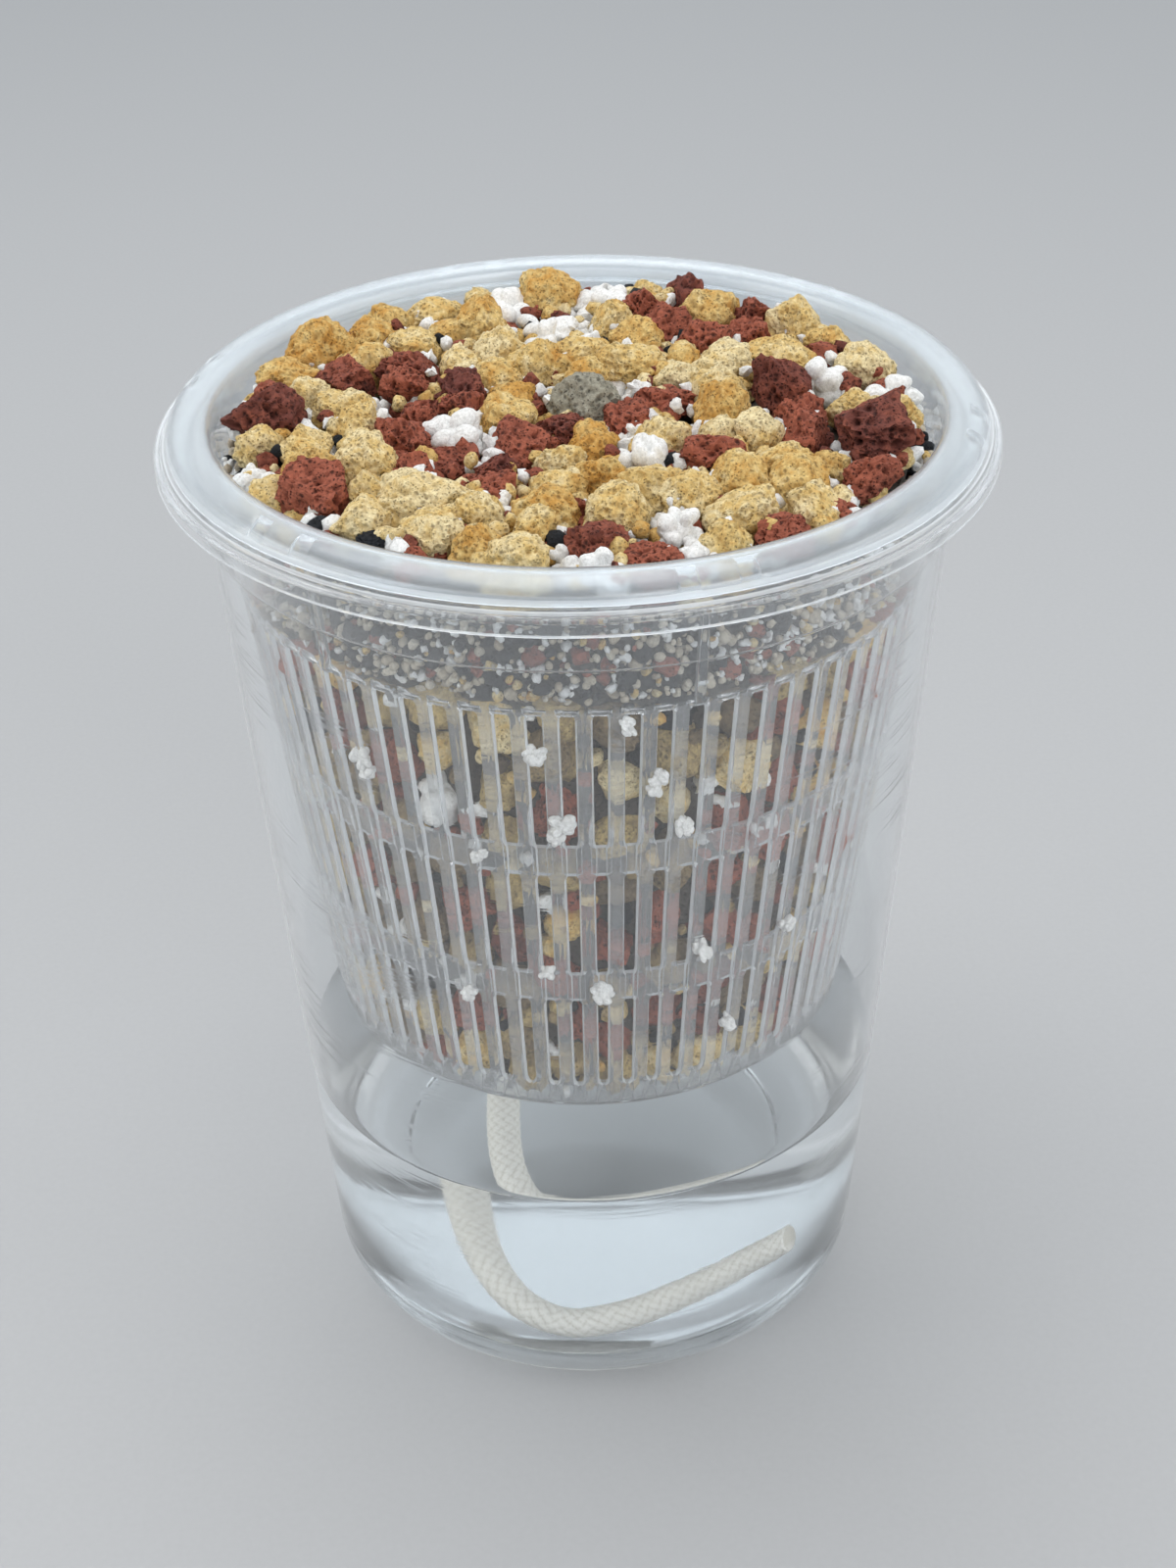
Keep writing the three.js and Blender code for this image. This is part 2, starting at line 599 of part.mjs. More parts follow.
function finish(color, roughness, opacity = 1) {
  return new THREE.MeshStandardMaterial({
    color, roughness, opacity, metalness: 0, transparent: opacity < 1,
  });
}

function piece(name, made, material) {
  const mesh = new THREE.Mesh(geometryOf(made), material);
  mesh.name = name;
  return mesh;
}

const reservoir = new THREE.Group();
reservoir.add(piece("reservoir_cup", cup(), finish(COLOUR.cup, 0.3, 0.35)));
reservoir.add(piece("reservoir_water", water(), finish(COLOUR.water, 0.05, 0.3)));

const wickTail = cordTube(tailRoute, wickRadius, WICK_TAIL_STEPS, 0);
const wickCore = cordTube(coreRoute, wickRadius, WICK_CORE_STEPS, 0);
const planter = new THREE.Group();
planter.add(piece("slotted_basket", basket(), finish(COLOUR.basket, 0.35, 0.5)));
planter.add(piece("wick_tail", wickTail, finish(COLOUR.wick, 0.9)));
planter.add(piece("wick_core", wickCore, finish(COLOUR.wick, 0.9)));
planter.add(piece("coarse_mix", coarseMix(), finish(COLOUR.coarse, 0.95)));
planter.add(piece("fine_mix", fineMix(), finish(COLOUR.fine, 0.95)));
const topStones = stoneMeshes();
planter.add(piece("top_grit", topGrit(topStones.map(largeStone)), finish(COLOUR.grit, 0.95)));
planter.add(...topStones);

const pot = new THREE.Group();
pot.add(reservoir, planter);

export default pot;
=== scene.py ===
"""Looks of a self-watering pot: a clear cup of water, a slotted basket of gritty mix and a cord wick."""

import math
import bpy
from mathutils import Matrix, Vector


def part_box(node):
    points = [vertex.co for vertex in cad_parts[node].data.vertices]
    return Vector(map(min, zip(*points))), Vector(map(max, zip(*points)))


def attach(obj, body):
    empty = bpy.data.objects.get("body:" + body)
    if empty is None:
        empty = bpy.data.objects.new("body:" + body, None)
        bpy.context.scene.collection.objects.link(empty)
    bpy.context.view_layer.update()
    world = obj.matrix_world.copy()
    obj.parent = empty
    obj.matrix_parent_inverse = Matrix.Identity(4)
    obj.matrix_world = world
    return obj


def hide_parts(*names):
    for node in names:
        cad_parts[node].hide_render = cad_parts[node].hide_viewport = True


bl_info = {
    "name": "Self-watering pot",
    "version": (1, 0, 0),
    "blender": (4, 5, 0),
    "location": "3D View > Sidebar > Pot",
    "description": "Builds a wick-fed pot with its cup, water, basket, wick, mix and stones",
    "category": "Add Mesh",
}

import bmesh
import bpy
import numpy as np
from bpy.props import FloatProperty, FloatVectorProperty, IntProperty, PointerProperty
from mathutils import Matrix, Quaternion, Vector, noise
from mathutils.bvhtree import BVHTree

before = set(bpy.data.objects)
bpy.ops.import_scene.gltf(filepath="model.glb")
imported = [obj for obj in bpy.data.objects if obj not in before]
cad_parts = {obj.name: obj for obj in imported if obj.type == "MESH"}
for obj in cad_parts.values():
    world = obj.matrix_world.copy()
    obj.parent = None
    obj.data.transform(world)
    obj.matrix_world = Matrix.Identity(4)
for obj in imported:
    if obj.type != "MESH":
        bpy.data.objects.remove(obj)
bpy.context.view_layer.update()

MM = 0.001
TURN = 2 * math.pi
CUP_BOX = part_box("reservoir_cup")
BASKET_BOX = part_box("slotted_basket")
STONE_KINDS = ("pumice", "grey_stone", "lava_rock", "perlite", "charcoal")
STONE_NODES = sorted(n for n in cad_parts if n.rsplit("_", 1)[0] in STONE_KINDS)

# Sizes in millimetres and angles in degrees
CUP_BASE_RADIUS = 42.3  # outside wall line carried down to the table
CUP_NECK_RADIUS = 52.45  # outside wall just under the step
CUP_STEP = 135  # height of the stacking step
CUP_CORNER = 8  # outside corner between wall and floor
CUP_FOOT = 34.88  # radius at which that corner starts
CUP_PUSH_UP = 1.2  # rise of the floor inside the foot ring
WATER_CREEP = 0.9  # rise of the water's edge at the wall
BASKET_FLOOR = 54.2  # height of the basket's underside
BASKET_DEPTH = 92.1  # lip's seat down to that underside
BASKET_BASE_RADIUS = 39.1  # outside wall line at the underside
BASKET_NECK_RADIUS = 51.4  # outside wall line at the height of the lip's seat
LIP_RISE = 3.2  # lip's seat up to its crest
LIP_HALF = 4.1  # lip's crest out to its edge
LIP_CREST = 52.9  # radius of the crest
LIP_EDGE = 57  # radius of the lip's edge
SLOT_TIERS = ((59.1, 76.1), (80.9, 99.4), (104.2, 126.6))  # foot and head of the slots, lowest tier first
SLOT_FOOT, SLOT_HEAD = 58.8, 127  # all slots lie between
NOTCH_PITCH = 8.0  # between the two notches of a pair
NOTCH_SIZE = (4.4, 3.0, 1.2)  # block that presses a notch: down the lip, along it and deep
NOTCH_TILT = 38  # of that block, to lie on the lip's dome
SPACER_SIZE = (1.2, 1.4)  # out from the collar and along it
SPACER_FOOT = 126.8  # height of a spacer's lower end
SPACER_DROP = 4.0  # lip's seat down to its upper end
WALL_SLOPE = 0.1335  # of the basket's wall: out for each millimetre up
WICK_HOLE = 3.05  # radius of the hole in the basket's floor
PAIR_ANGLES = [-72.5 + 60 * i for i in range(6)]  # pairs of notches, each over a spacer
FILL_INSET = 1.2  # outside of the basket's wall in to the solids of the mix
TOP_ROOM = 49.0  # radius that the grains of the top layer keep within
GRIT_BED = 1.5  # thickness of the bed under the top layer
GRIT_SIZES = (8.6, 7.4, 6.4)  # small stones of the top layer, largest laid first
GRIT_SPOT_GAP = 1.8  # between neighbouring spots where a small stone is tried
GRIT_NESTLE = 0.32  # share of a small stone's size from its middle to the edge of a large stone
GRIT_CROWD = 0.42  # share of their sizes that two small stones' middles are apart
GOLDEN_TURN = math.pi * (3 - math.sqrt(5))
STITCHES = 8  # round the wick
STITCH_DEPTH = 0.12  # share of the wick's radius
CUP_SIDES, HEART_SIDES, CORD_SIDES = 160, 96, 40  # faces round the cup and water, the hearts of the mixes and the wick
# Kinds of grain that are only found in one mix, and that mix
MIX_OF = {"damp_pumice": "coarse_mix", "sand": "fine_mix"}
# Depth of colour, from 0 to 1, of large stones that differ from the rest
STONE_TONES = {"pumice_01": 0.85, "pumice_07": 1.0, "pumice_18": 0.0, "pumice_20": 1.0}
# Angle in degrees and height of the one rusty stone in the top tier of slots
RUSTY_STONE = (-43, 107.7)

# Middle line of the wick in millimetres: from the basket's floor to the cup's floor, up by the front wall to its end
WICK_TAIL = [
    (-13, 9, 54.05), (-13.2, 8.4, 34), (-13.7, 6, 28.5), (-14.1, 2, 24.2), (-14.4, -3.2, 20.6), (-14.5, -9, 17),
    (-14.1, -14.4, 13.9), (-12.9, -18.8, 11), (-10.6, -22.1, 8), (-6.9, -24.4, 5.9), (-3, -25.2, 5.1),
    (0.9, -25, 5.6), (5.8, -24.6, 7), (10.7, -24.5, 9.4), (15.9, -24.7, 12.1), (21.4, -24.9, 15),
    (25, -25.4, 16.6), (28.4, -25.8, 18),
]
# The same wick above the basket's floor, buried in the mix
WICK_CORE = [
    (-13, 9, 54.35), (-13, 9, 60.2), (-12.5, 8.6, 68.2), (-11, 7.6, 76.2), (-9, 6.2, 84.2), (-7.5, 5.2, 92.2),
    (-7, 4.8, 100.2),
]
# White bits that hang outside the basket's slots: angle in degrees, height and size in millimetres
STRAY_BITS = [
    (-128.9, 113.7, 3.2), (-127.6, 112, 2.4), (-93.6, 108.7, 3.4), (-95, 107, 2.6), (-79, 114.5, 3.0), (-78, 116, 2.2),
    (-73.9, 107, 2.8), (-69, 83.9, 3.2), (-50, 82.5, 3.0), (-97.7, 120.1, 3.4), (-108.1, 102.3, 2.6),
    (-83.5, 125, 2.4), (-97.5, 81.9, 3.0), (-87.5, 78.2, 3.4), (-113.5, 75.8, 2.8), (-61.9, 67.7, 3.0),
]


def length(name, description, value):
    return FloatProperty(name=name, description=description, default=value * MM, unit="LENGTH", precision=4)


class PotSizes(bpy.types.PropertyGroup):
    """Sizes of the pot's pieces"""

    cup_wall: length("Cup wall", "Thickness of the cup's wall", 0.8)
    basket_wall: length("Basket wall", "Thickness of the basket's wall", 0.9)
    rib_width: length("Rib width", "Width of a bar between two slots", 1.4)
    slot_columns: IntProperty(name="Slot columns", description="Slots round the basket in one tier", default=72, min=12)
    wick_diameter: length("Wick diameter", "Width of the cord wick", 5.5)
    weave_pitch: length("Weave pitch", "Length of one stitch of the wick", 1.9)
    coarse_grain: length("Coarse grain", "Size of the stones behind the slots", 7.0)
    fine_grain: length("Fine grain", "Size of the grains behind the collar", 1.5)


def colour(name, description, value):
    return FloatVectorProperty(
        name=name, description=description, default=(*value, 1.0), size=4, min=0.0, max=1.0, subtype="COLOR"
    )


class PotColours(bpy.types.PropertyGroup):
    """Colours of the pot's pieces"""

    cup: colour("Cup", "Clear plastic of the cup", (0.97, 0.985, 0.995))
    basket: colour("Basket", "Milky plastic of the basket", (0.96, 0.975, 0.99))
    water: colour("Water", "Tint of the water", (0.975, 0.99, 0.998))
    wick: colour("Wick", "Yarn of the wick", (0.95, 0.935, 0.88))
    pumice_pale: colour("Pale pumice", "Palest pumice", (0.93, 0.82, 0.51))
    pumice_ochre: colour("Ochre pumice", "Most pumice", (0.80, 0.60, 0.25))
    pumice_brown: colour("Brown pumice", "Rusty pumice", (0.63, 0.34, 0.085))
    lava_red: colour("Red lava", "Brightest lava rock", (0.45, 0.135, 0.08))
    lava_dark: colour("Dark lava", "Darkest lava rock", (0.19, 0.06, 0.046))
    perlite: colour("Perlite", "White perlite", (0.93, 0.93, 0.92))
    sand: colour("Sand", "Cream grains of the fine mix", (0.8, 0.74, 0.62))
    dark_pumice_tint: colour("Damp pumice", "Pumice behind the slots", (0.33, 0.24, 0.13))
    charcoal: colour("Charcoal", "Char", (0.02, 0.022, 0.026))
    grey_stone: colour("Grey stone", "Grey pumice", (0.36, 0.34, 0.27))
    floor: colour("Floor", "Studio floor", (0.5, 0.505, 0.515))


# Making meshes


def deselect():
    if bpy.context.object and bpy.context.object.mode != "OBJECT":
        bpy.ops.object.mode_set(mode="OBJECT")
    bpy.ops.object.select_all(action="DESELECT")


def activate(obj):
    deselect()
    obj.select_set(True)
    bpy.context.view_layer.objects.active = obj


def new_shape(add, name="shape", **settings):
    """Runs an operator that adds a shape, and names what it made."""
    deselect()
    add(**settings)
    obj = bpy.context.object
    obj.name = obj.data.name = name
    return obj


def apply_modifier(obj, kind, **settings):
    activate(obj)
    modifier = obj.modifiers.new(kind.title(), kind)
    for key, value in settings.items():
        setattr(modifier, key, value)
    bpy.ops.object.modifier_apply(modifier=modifier.name)


def smooth(obj, degrees):
    activate(obj)
    bpy.ops.object.shade_smooth_by_angle(angle=math.radians(degrees))


def join(obj, others):
    activate(obj)
    for other in others:
        other.select_set(True)
    bpy.ops.object.join()


def leave_edit_mode():
    """Turns all faces outwards and goes back to object mode."""
    bpy.ops.mesh.select_all(action="SELECT")
    bpy.ops.mesh.normals_make_consistent(inside=False)
    bpy.ops.object.mode_set(mode="OBJECT")


def arc(middle_r, middle_z, radius_r, radius_z, start, end, steps):
    """Points on part of an ellipse, from one angle to another in degrees."""
    angles = [math.radians(start + (end - start) * i / steps) for i in range(steps + 1)]
    return [(middle_r + radius_r * math.cos(a), middle_z + radius_z * math.sin(a)) for a in angles]


def turned(name, outline, steps):
    """Extrudes a vertex along an outline of (radius, height) in millimetres and spins it about the Z axis."""
    obj = new_shape(bpy.ops.mesh.primitive_plane_add, name, size=MM)
    bpy.ops.object.mode_set(mode="EDIT")
    bpy.ops.mesh.merge(type="CENTER")
    bpy.ops.mesh.select_mode(type="VERT")
    bpy.ops.mesh.select_all(action="SELECT")
    r, z = outline[0]
    bpy.ops.transform.translate(value=(r * MM, 0, z * MM))
    for (r0, z0), (r1, z1) in zip(outline, outline[1:]):
        move = {"value": ((r1 - r0) * MM, 0, (z1 - z0) * MM)}
        bpy.ops.mesh.extrude_vertices_move(TRANSFORM_OT_translate=move)
    bpy.ops.mesh.select_all(action="SELECT")
    bpy.ops.mesh.spin(steps=steps, angle=TURN, center=(0, 0, 0), axis=(0, 0, 1))
    bpy.ops.mesh.select_all(action="SELECT")
    bpy.ops.mesh.remove_doubles(threshold=0.002 * MM)
    leave_edit_mode()
    return obj


def mesh_object(name, points, faces, **values):
    """A mesh object from arrays of points and of faces with one corner count, with named values at each point."""
    mesh = bpy.data.meshes.new(name)
    count, corners = faces.shape
    mesh.vertices.add(len(points))
    mesh.vertices.foreach_set("co", np.asarray(points, np.float32).ravel())
    mesh.loops.add(count * corners)
    mesh.loops.foreach_set("vertex_index", faces.astype(np.int32).ravel())
    mesh.polygons.add(count)
    mesh.polygons.foreach_set("loop_start", np.arange(0, count * corners, corners, dtype=np.int32))
    mesh.update(calc_edges=True)
    mesh.validate()
    for key, value in values.items():
        mesh.attributes.new(key, "FLOAT", "POINT").data.foreach_set("value", np.asarray(value, np.float32))
    obj = bpy.data.objects.new(name, mesh)
    bpy.context.collection.objects.link(obj)
    return obj


def round_block(size, bevel, place, tilt, turn):
    """A block with rounded edges, of a size in millimetres: tilted, put in place and turned about the Z axis."""
    block = new_shape(bpy.ops.mesh.primitive_cube_add, size=1)
    lean, turn_by = Matrix.Rotation(tilt, 4, "Y"), Matrix.Rotation(turn, 4, "Z")
    scale = Matrix.Diagonal((*(v * MM for v in size), 1))
    block.data.transform(turn_by @ Matrix.Translation(place) @ lean @ scale)
    apply_modifier(block, "BEVEL", width=bevel * MM, segments=3)
    return block


def fit_piece(obj, body, slot, material, *nodes):
    """Gives a piece its material and its body, and hides the solids that it stands for; its finish, the slot, is not
    used.
    """
    obj.data.materials.clear()
    obj.data.materials.append(material)
    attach(obj, body)
    if nodes:
        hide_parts(*nodes)


def paint(obj, material, chosen):
    """Gives one more material to chosen faces, told by radius and height in millimetres and how far they face out."""
    obj.data.materials.append(material)
    index = len(obj.data.materials) - 1
    for face in obj.data.polygons:
        x, y, z = face.center / MM
        r = math.hypot(x, y)
        outward = (face.normal.x * x + face.normal.y * y) / max(r, 1)
        if chosen(r, z, outward):
            face.material_index = index


# Lines and radii that several pieces share, in millimetres


def cup_radius(z):
    """Outside of the cup's wall below its step."""
    return CUP_BASE_RADIUS + (CUP_NECK_RADIUS - CUP_BASE_RADIUS) / CUP_STEP * z


def basket_radius(z):
    """Outside of the basket's wall."""
    return BASKET_BASE_RADIUS + (BASKET_NECK_RADIUS - BASKET_BASE_RADIUS) / BASKET_DEPTH * (z - BASKET_FLOOR)


# Materials


def add_node(tree, kind, inputs=None, **settings):
    made = tree.nodes.new("ShaderNode" + kind)
    for key, value in settings.items():
        setattr(made, key, value)
    for key, value in (inputs or {}).items():
        if isinstance(value, bpy.types.NodeSocket):
            tree.links.new(value, made.inputs[key])
        else:
            made.inputs[key].default_value = value
    return made


def mix_colours(tree, factor, first, second):
    mix = add_node(tree, "Mix", {0: factor, 6: first, 7: second}, data_type="RGBA")
    return mix.outputs[2]


def calculate(tree, operation, *values, clamp=False):
    made = add_node(tree, "Math", dict(enumerate(values)), operation=operation, use_clamp=clamp)
    return made.outputs[0]


def spread(tree, value, low, high, to_low=0.0, to_high=1.0):
    made = add_node(
        tree, "MapRange", {"Value": value, "From Min": low, "From Max": high, "To Min": to_low, "To Max": to_high}
    )
    return made.outputs["Result"]


def cloud(tree, place, scale, detail, roughness=0.5):
    """Value of a noise texture."""
    inputs = {"Vector": place, "Scale": scale, "Detail": detail, "Roughness": roughness}
    return add_node(tree, "TexNoise", inputs).outputs[0]


def bumped(tree, height, strength, depth, inputs):
    """A surface shader with a bump, its depth in millimetres."""
    relief = add_node(tree, "Bump", {"Height": height, "Strength": strength, "Distance": depth * MM})
    return add_node(tree, "BsdfPrincipled", {"Normal": relief.outputs[0], **inputs})


def new_material(name):
    material = bpy.data.materials.new(name)
    material.use_nodes = True
    material.node_tree.nodes.clear()
    return material, material.node_tree


def finish_material(material, tree, shader):
    end = add_node(tree, "OutputMaterial")
    tree.links.new(shader.outputs[0], end.inputs["Surface"])
    return material


def pass_lamplight(tree, shader, tint):
    """The same shader, but clear to the lamps' light apart from a tint, so that it reaches what is behind."""
    clear_way = add_node(tree, "BsdfTransparent", {"Color": (*tint, 1)})
    ray = add_node(tree, "LightPath").outputs["Is Shadow Ray"]
    return add_node(tree, "MixShader", {0: ray, 1: shader.outputs[0], 2: clear_way.outputs[0]})


def new_group(name, inputs, outputs):
    """An empty shader node group with its sockets: {name: type of value}."""
    tree = bpy.data.node_groups.new(name, "ShaderNodeTree")
    for in_out, sockets in (("INPUT", inputs), ("OUTPUT", outputs)):
        for socket, kind in sockets.items():
            tree.interface.new_socket(socket, in_out=in_out, socket_type="NodeSocket" + kind)
    return tree, tree.nodes.new("NodeGroupInput").outputs, tree.nodes.new("NodeGroupOutput").inputs


def porous_stone_group():
    """Mottled stone with pits of two sizes: its colour, with painted shade in the pits, and its height for a bump."""
    name = "Porous stone"
    if name in bpy.data.node_groups:
        return bpy.data.node_groups[name]
    tree, given, out = new_group(
        name,
        {
            "Pale": "Color", "Middle": "Color", "Deep": "Color", "Pit": "Color", "Mottle": "Float",
            "Pit scale": "Float", "Pit amount": "Float",
        },
        {"Color": "Color", "Height": "Float"},
    )
    place = add_node(tree, "TexCoord").outputs["Object"]
    tone = add_node(tree, "Attribute", attribute_name="tone").outputs["Fac"]
    hollow = add_node(tree, "Attribute", attribute_name="hollow").outputs["Fac"]
    both = calculate(tree, "ADD", cloud(tree, place, 190.0, 3.0, 0.55), cloud(tree, place, 620.0, 6.0, 0.65))
    patch = calculate(tree, "MULTIPLY", calculate(tree, "SUBTRACT", both, 1.0), given["Mottle"])
    depth = calculate(tree, "ADD", tone, patch, clamp=True)
    first_half = mix_colours(tree, spread(tree, depth, 0.0, 0.5), given["Pale"], given["Middle"])
    body = mix_colours(tree, spread(tree, depth, 0.5, 1.0), first_half, given["Deep"])
    warp = add_node(tree, "TexNoise", {"Vector": place, "Scale": 900.0, "Detail": 2.0})
    bent = add_node(
        tree, "VectorMath", {0: warp.outputs["Color"], 1: (0.6 * MM,) * 3, 2: place}, operation="MULTIPLY_ADD"
    )
    masks = []
    for share in (1.0, 2.3):
        scale = calculate(tree, "MULTIPLY", given["Pit scale"], share)
        cells = add_node(tree, "TexVoronoi", {"Vector": bent.outputs[0], "Scale": scale})
        chance = calculate(tree, "FRACT", calculate(tree, "MULTIPLY", cells.outputs["Color"], 3.0))
        reach = spread(tree, cells.outputs["Distance"], 0.42, 0.12)
        masks.append(calculate(tree, "MULTIPLY", reach, spread(tree, chance, 0.3, 0.5)))
    # Painted shade: the pits of the texture, and the hollows pressed into the stone's shape, are darkened towards the
    # Pit colour as if shaded inside; the same pits also sink the bump
    deepest = calculate(tree, "MAXIMUM", calculate(tree, "MAXIMUM", *masks), calculate(tree, "MULTIPLY", hollow, 0.8))
    pits = calculate(tree, "MULTIPLY", deepest, given["Pit amount"])
    grain = cloud(tree, place, 2600.0, 5.0, 0.7)
    speck = mix_colours(tree, spread(tree, grain, 0.35, 0.7, 0.35, 0.0), body, given["Deep"])
    skin = mix_colours(tree, pits, speck, given["Pit"])
    light = spread(tree, grain, 0.3, 0.7, 0.8, 1.15)
    lit = add_node(tree, "Mix", {0: 1.0, 6: skin, 7: light}, data_type="RGBA", blend_type="MULTIPLY")
    tree.links.new(lit.outputs[2], out["Color"])
    rough = calculate(tree, "MULTIPLY", grain, 0.5)
    tree.links.new(calculate(tree, "SUBTRACT", rough, pits), out["Height"])
    return tree


def stone_material(name, pale, middle, deep, pit, mottle, pit_scale, pit_amount, bump):
    material, tree = new_material(name)
    inputs = {
        "Pale": pale, "Middle": middle, "Deep": deep, "Pit": (*pit, 1), "Mottle": mottle, "Pit scale": pit_scale,
        "Pit amount": pit_amount,
    }
    skin = add_node(tree, "Group", inputs, node_tree=porous_stone_group())
    looks = {"Base Color": skin.outputs["Color"], "Roughness": 0.92, "Specular IOR Level": 0.3}
    return finish_material(material, tree, bumped(tree, skin.outputs["Height"], 0.8, bump, looks))


def stone_materials():
    """Materials of the stones by kind, made once.

    Each row is a name, colours from pale to deep, the colour of the painted shade in the pits, mottle, pits a metre,
    how deep that painted shade is and the bump in millimetres.
    """
    tint = bpy.context.scene.pot_colours
    rows = {
        "pumice": (
            "Tan pumice", tint.pumice_pale, tint.pumice_ochre, tint.pumice_brown,
            (0.12, 0.07, 0.03), 1.8, 1150.0, 0.65, 0.5,
        ),
        # A darker pumice, for the stones behind the slots
        "damp_pumice": (
            "Damp pumice", tint.pumice_ochre, tint.dark_pumice_tint, (0.11, 0.085, 0.065, 1),
            (0.04, 0.03, 0.02), 0.9, 1150.0, 0.6, 0.5,
        ),
        "grey_stone": (
            "Grey pumice", (0.5, 0.48, 0.4, 1), tint.grey_stone, (0.16, 0.14, 0.1, 1),
            (0.05, 0.045, 0.035), 1.2, 900.0, 0.75, 0.5,
        ),
        # Heart: partly the dark mix's own colour, partly painted shade for the deep gaps between the grains
        "heart": (
            "Dark mix and painted gap shade", (0.11, 0.095, 0.08, 1), (0.06, 0.05, 0.045, 1), (0.03, 0.025, 0.025, 1),
            (0.01, 0.01, 0.01), 1.2, 700.0, 0.7, 0.5,
        ),
        "sand": (
            "Cream sand", tint.sand, (0.62, 0.54, 0.42, 1), (0.34, 0.27, 0.19, 1),
            (0.14, 0.11, 0.08), 0.5, 1600.0, 0.3, 0.2,
        ),
        "lava_rock": (
            "Red lava rock", tint.lava_red, tint.lava_red, tint.lava_dark,
            (0.025, 0.008, 0.008), 1.0, 950.0, 0.85, 0.8,
        ),
        "perlite": (
            "White perlite", tint.perlite, tint.perlite, (0.7, 0.69, 0.66, 1),
            (0.55, 0.53, 0.5), 0.5, 1700.0, 0.3, 0.25,
        ),
        "charcoal": (
            "Black char", (0.05, 0.052, 0.056, 1), tint.charcoal, tint.charcoal,
            (0.006, 0.006, 0.007), 0.8, 1500.0, 0.5, 0.8,
        ),
    }
    return {kind: bpy.data.materials.get(row[0]) or stone_material(*row) for kind, row in rows.items()}


def scuffed_plastic_group():
    """Handling marks on moulded plastic: a roughness, and a height for a bump."""
    name = "Scuffed plastic"
    if name in bpy.data.node_groups:
        return bpy.data.node_groups[name]
    tree, given, out = new_group(
        name,
        {"Clean": "Float", "Scuffed": "Float"},
        {"Roughness": "Float", "Height": "Float"},
    )
    place = add_node(tree, "TexCoord").outputs["Object"]
    slanted = add_node(
        tree, "Mapping", {"Vector": place, "Rotation": (0, math.radians(28), 0), "Scale": (60, 60, 1600)}
    )
    lines = spread(tree, cloud(tree, slanted.outputs[0], 1.0, 3.0), 0.56, 0.68)
    patches = spread(tree, cloud(tree, place, 45.0, 3.0), 0.45, 0.65)
    marks = calculate(tree, "MULTIPLY", lines, patches)
    # No marks near the rim, where no hand drags on it
    height = add_node(tree, "SeparateXYZ", {0: place}).outputs["Z"]
    marks = calculate(tree, "MULTIPLY", marks, spread(tree, height, 134 * MM, 120 * MM))
    reach = calculate(tree, "SUBTRACT", given["Scuffed"], given["Clean"])
    tree.links.new(calculate(tree, "MULTIPLY_ADD", marks, reach, given["Clean"]), out["Roughness"])
    tree.links.new(marks, out["Height"])
    return tree


def plastic_material(name, base, clear, haze, clean, scuffed, shadow):
    """Clear to milky plastic that lets the lamps' light through to what is behind it."""
    material, tree = new_material(name)
    skin = add_node(tree, "Group", {"Clean": clean, "Scuffed": scuffed}, node_tree=scuffed_plastic_group())
    looks = {
        "Base Color": base, "Roughness": skin.outputs["Roughness"], "IOR": 1.45, "Transmission Weight": clear,
        "Sheen Weight": haze, "Sheen Roughness": 0.35,
    }
    shader = bumped(tree, skin.outputs["Height"], 0.1, 0.1, looks)
    return finish_material(material, tree, pass_lamplight(tree, shader, shadow))


def frosted_edge_and_highlight(name):
    """Rims and cut edges: a milkier plastic, partly the frosted finish of moulded edges and partly a painted highlight
    for the light that runs inside the plastic and comes out there.
    """
    return plastic_material(name, (0.92, 0.95, 0.98, 1), 0.55, 0.2, 0.15, 0.15, (0.85, 0.87, 0.89))


def water_material():
    material, tree = new_material("Clear water")
    place = add_node(tree, "TexCoord").outputs["Object"]
    tint = bpy.context.scene.pot_colours.water
    looks = {"Base Color": tint, "Roughness": 0.0, "IOR": 1.333, "Transmission Weight": 1.0}
    shader = bumped(tree, cloud(tree, place, 60.0, 1.0), 0.04, 0.2, looks)
    return finish_material(material, tree, pass_lamplight(tree, shader, (0.98, 0.99, 1.0)))


def wick_material():
    material, tree = new_material("Knitted cord")
    place = add_node(tree, "TexCoord").outputs["Object"]
    fold = add_node(tree, "Attribute", attribute_name="tone").outputs["Fac"]
    fibres = cloud(tree, place, 2600.0, 4.0)
    # Painted shade: the deeper a point lies between the stitches, the more it takes the darker colour below; the
    # fibres' noise adds a little real fleck
    painted_crease_shade = calculate(tree, "POWER", fold, 2.5)
    shade = calculate(tree, "MULTIPLY_ADD", fibres, 0.12, painted_crease_shade, clamp=True)
    tint = bpy.context.scene.pot_colours.wick
    skin = mix_colours(tree, shade, tint, (0.6, 0.57, 0.49, 1))
    looks = {"Base Color": skin, "Roughness": 0.85, "Specular IOR Level": 0.2}
    return finish_material(material, tree, bumped(tree, fibres, 0.5, 0.3, looks))


# Cord


def smooth_line(points, step):
    """Points at even steps along a smooth line through the given points."""
    given = np.array(points, float)
    run = np.vstack([2 * given[0] - given[1], given, 2 * given[-1] - given[-2]])
    pieces = []
    for a, b, c, d in zip(run, run[1:], run[2:], run[3:]):
        t = np.linspace(0, 1, 40, endpoint=False)[:, None]
        near, far = np.linalg.norm(b - a), np.linalg.norm(d - c)
        span = np.linalg.norm(c - b)
        start = (c - a) / (near + span) * span
        end = (d - b) / (far + span) * span
        pieces.append(
            (2 * t**3 - 3 * t**2 + 1) * b + (t**3 - 2 * t**2 + t) * start
            + (3 * t**2 - 2 * t**3) * c + (t**3 - t**2) * end
        )
    line = np.vstack([*pieces, given[-1:]])
    along = np.concatenate([[0], np.cumsum(np.linalg.norm(np.diff(line, axis=0), axis=1))])
    even = np.linspace(0, along[-1], int(along[-1] / step) + 1)
    return np.stack([np.interp(even, along, line[:, k]) for k in range(3)], axis=1), even


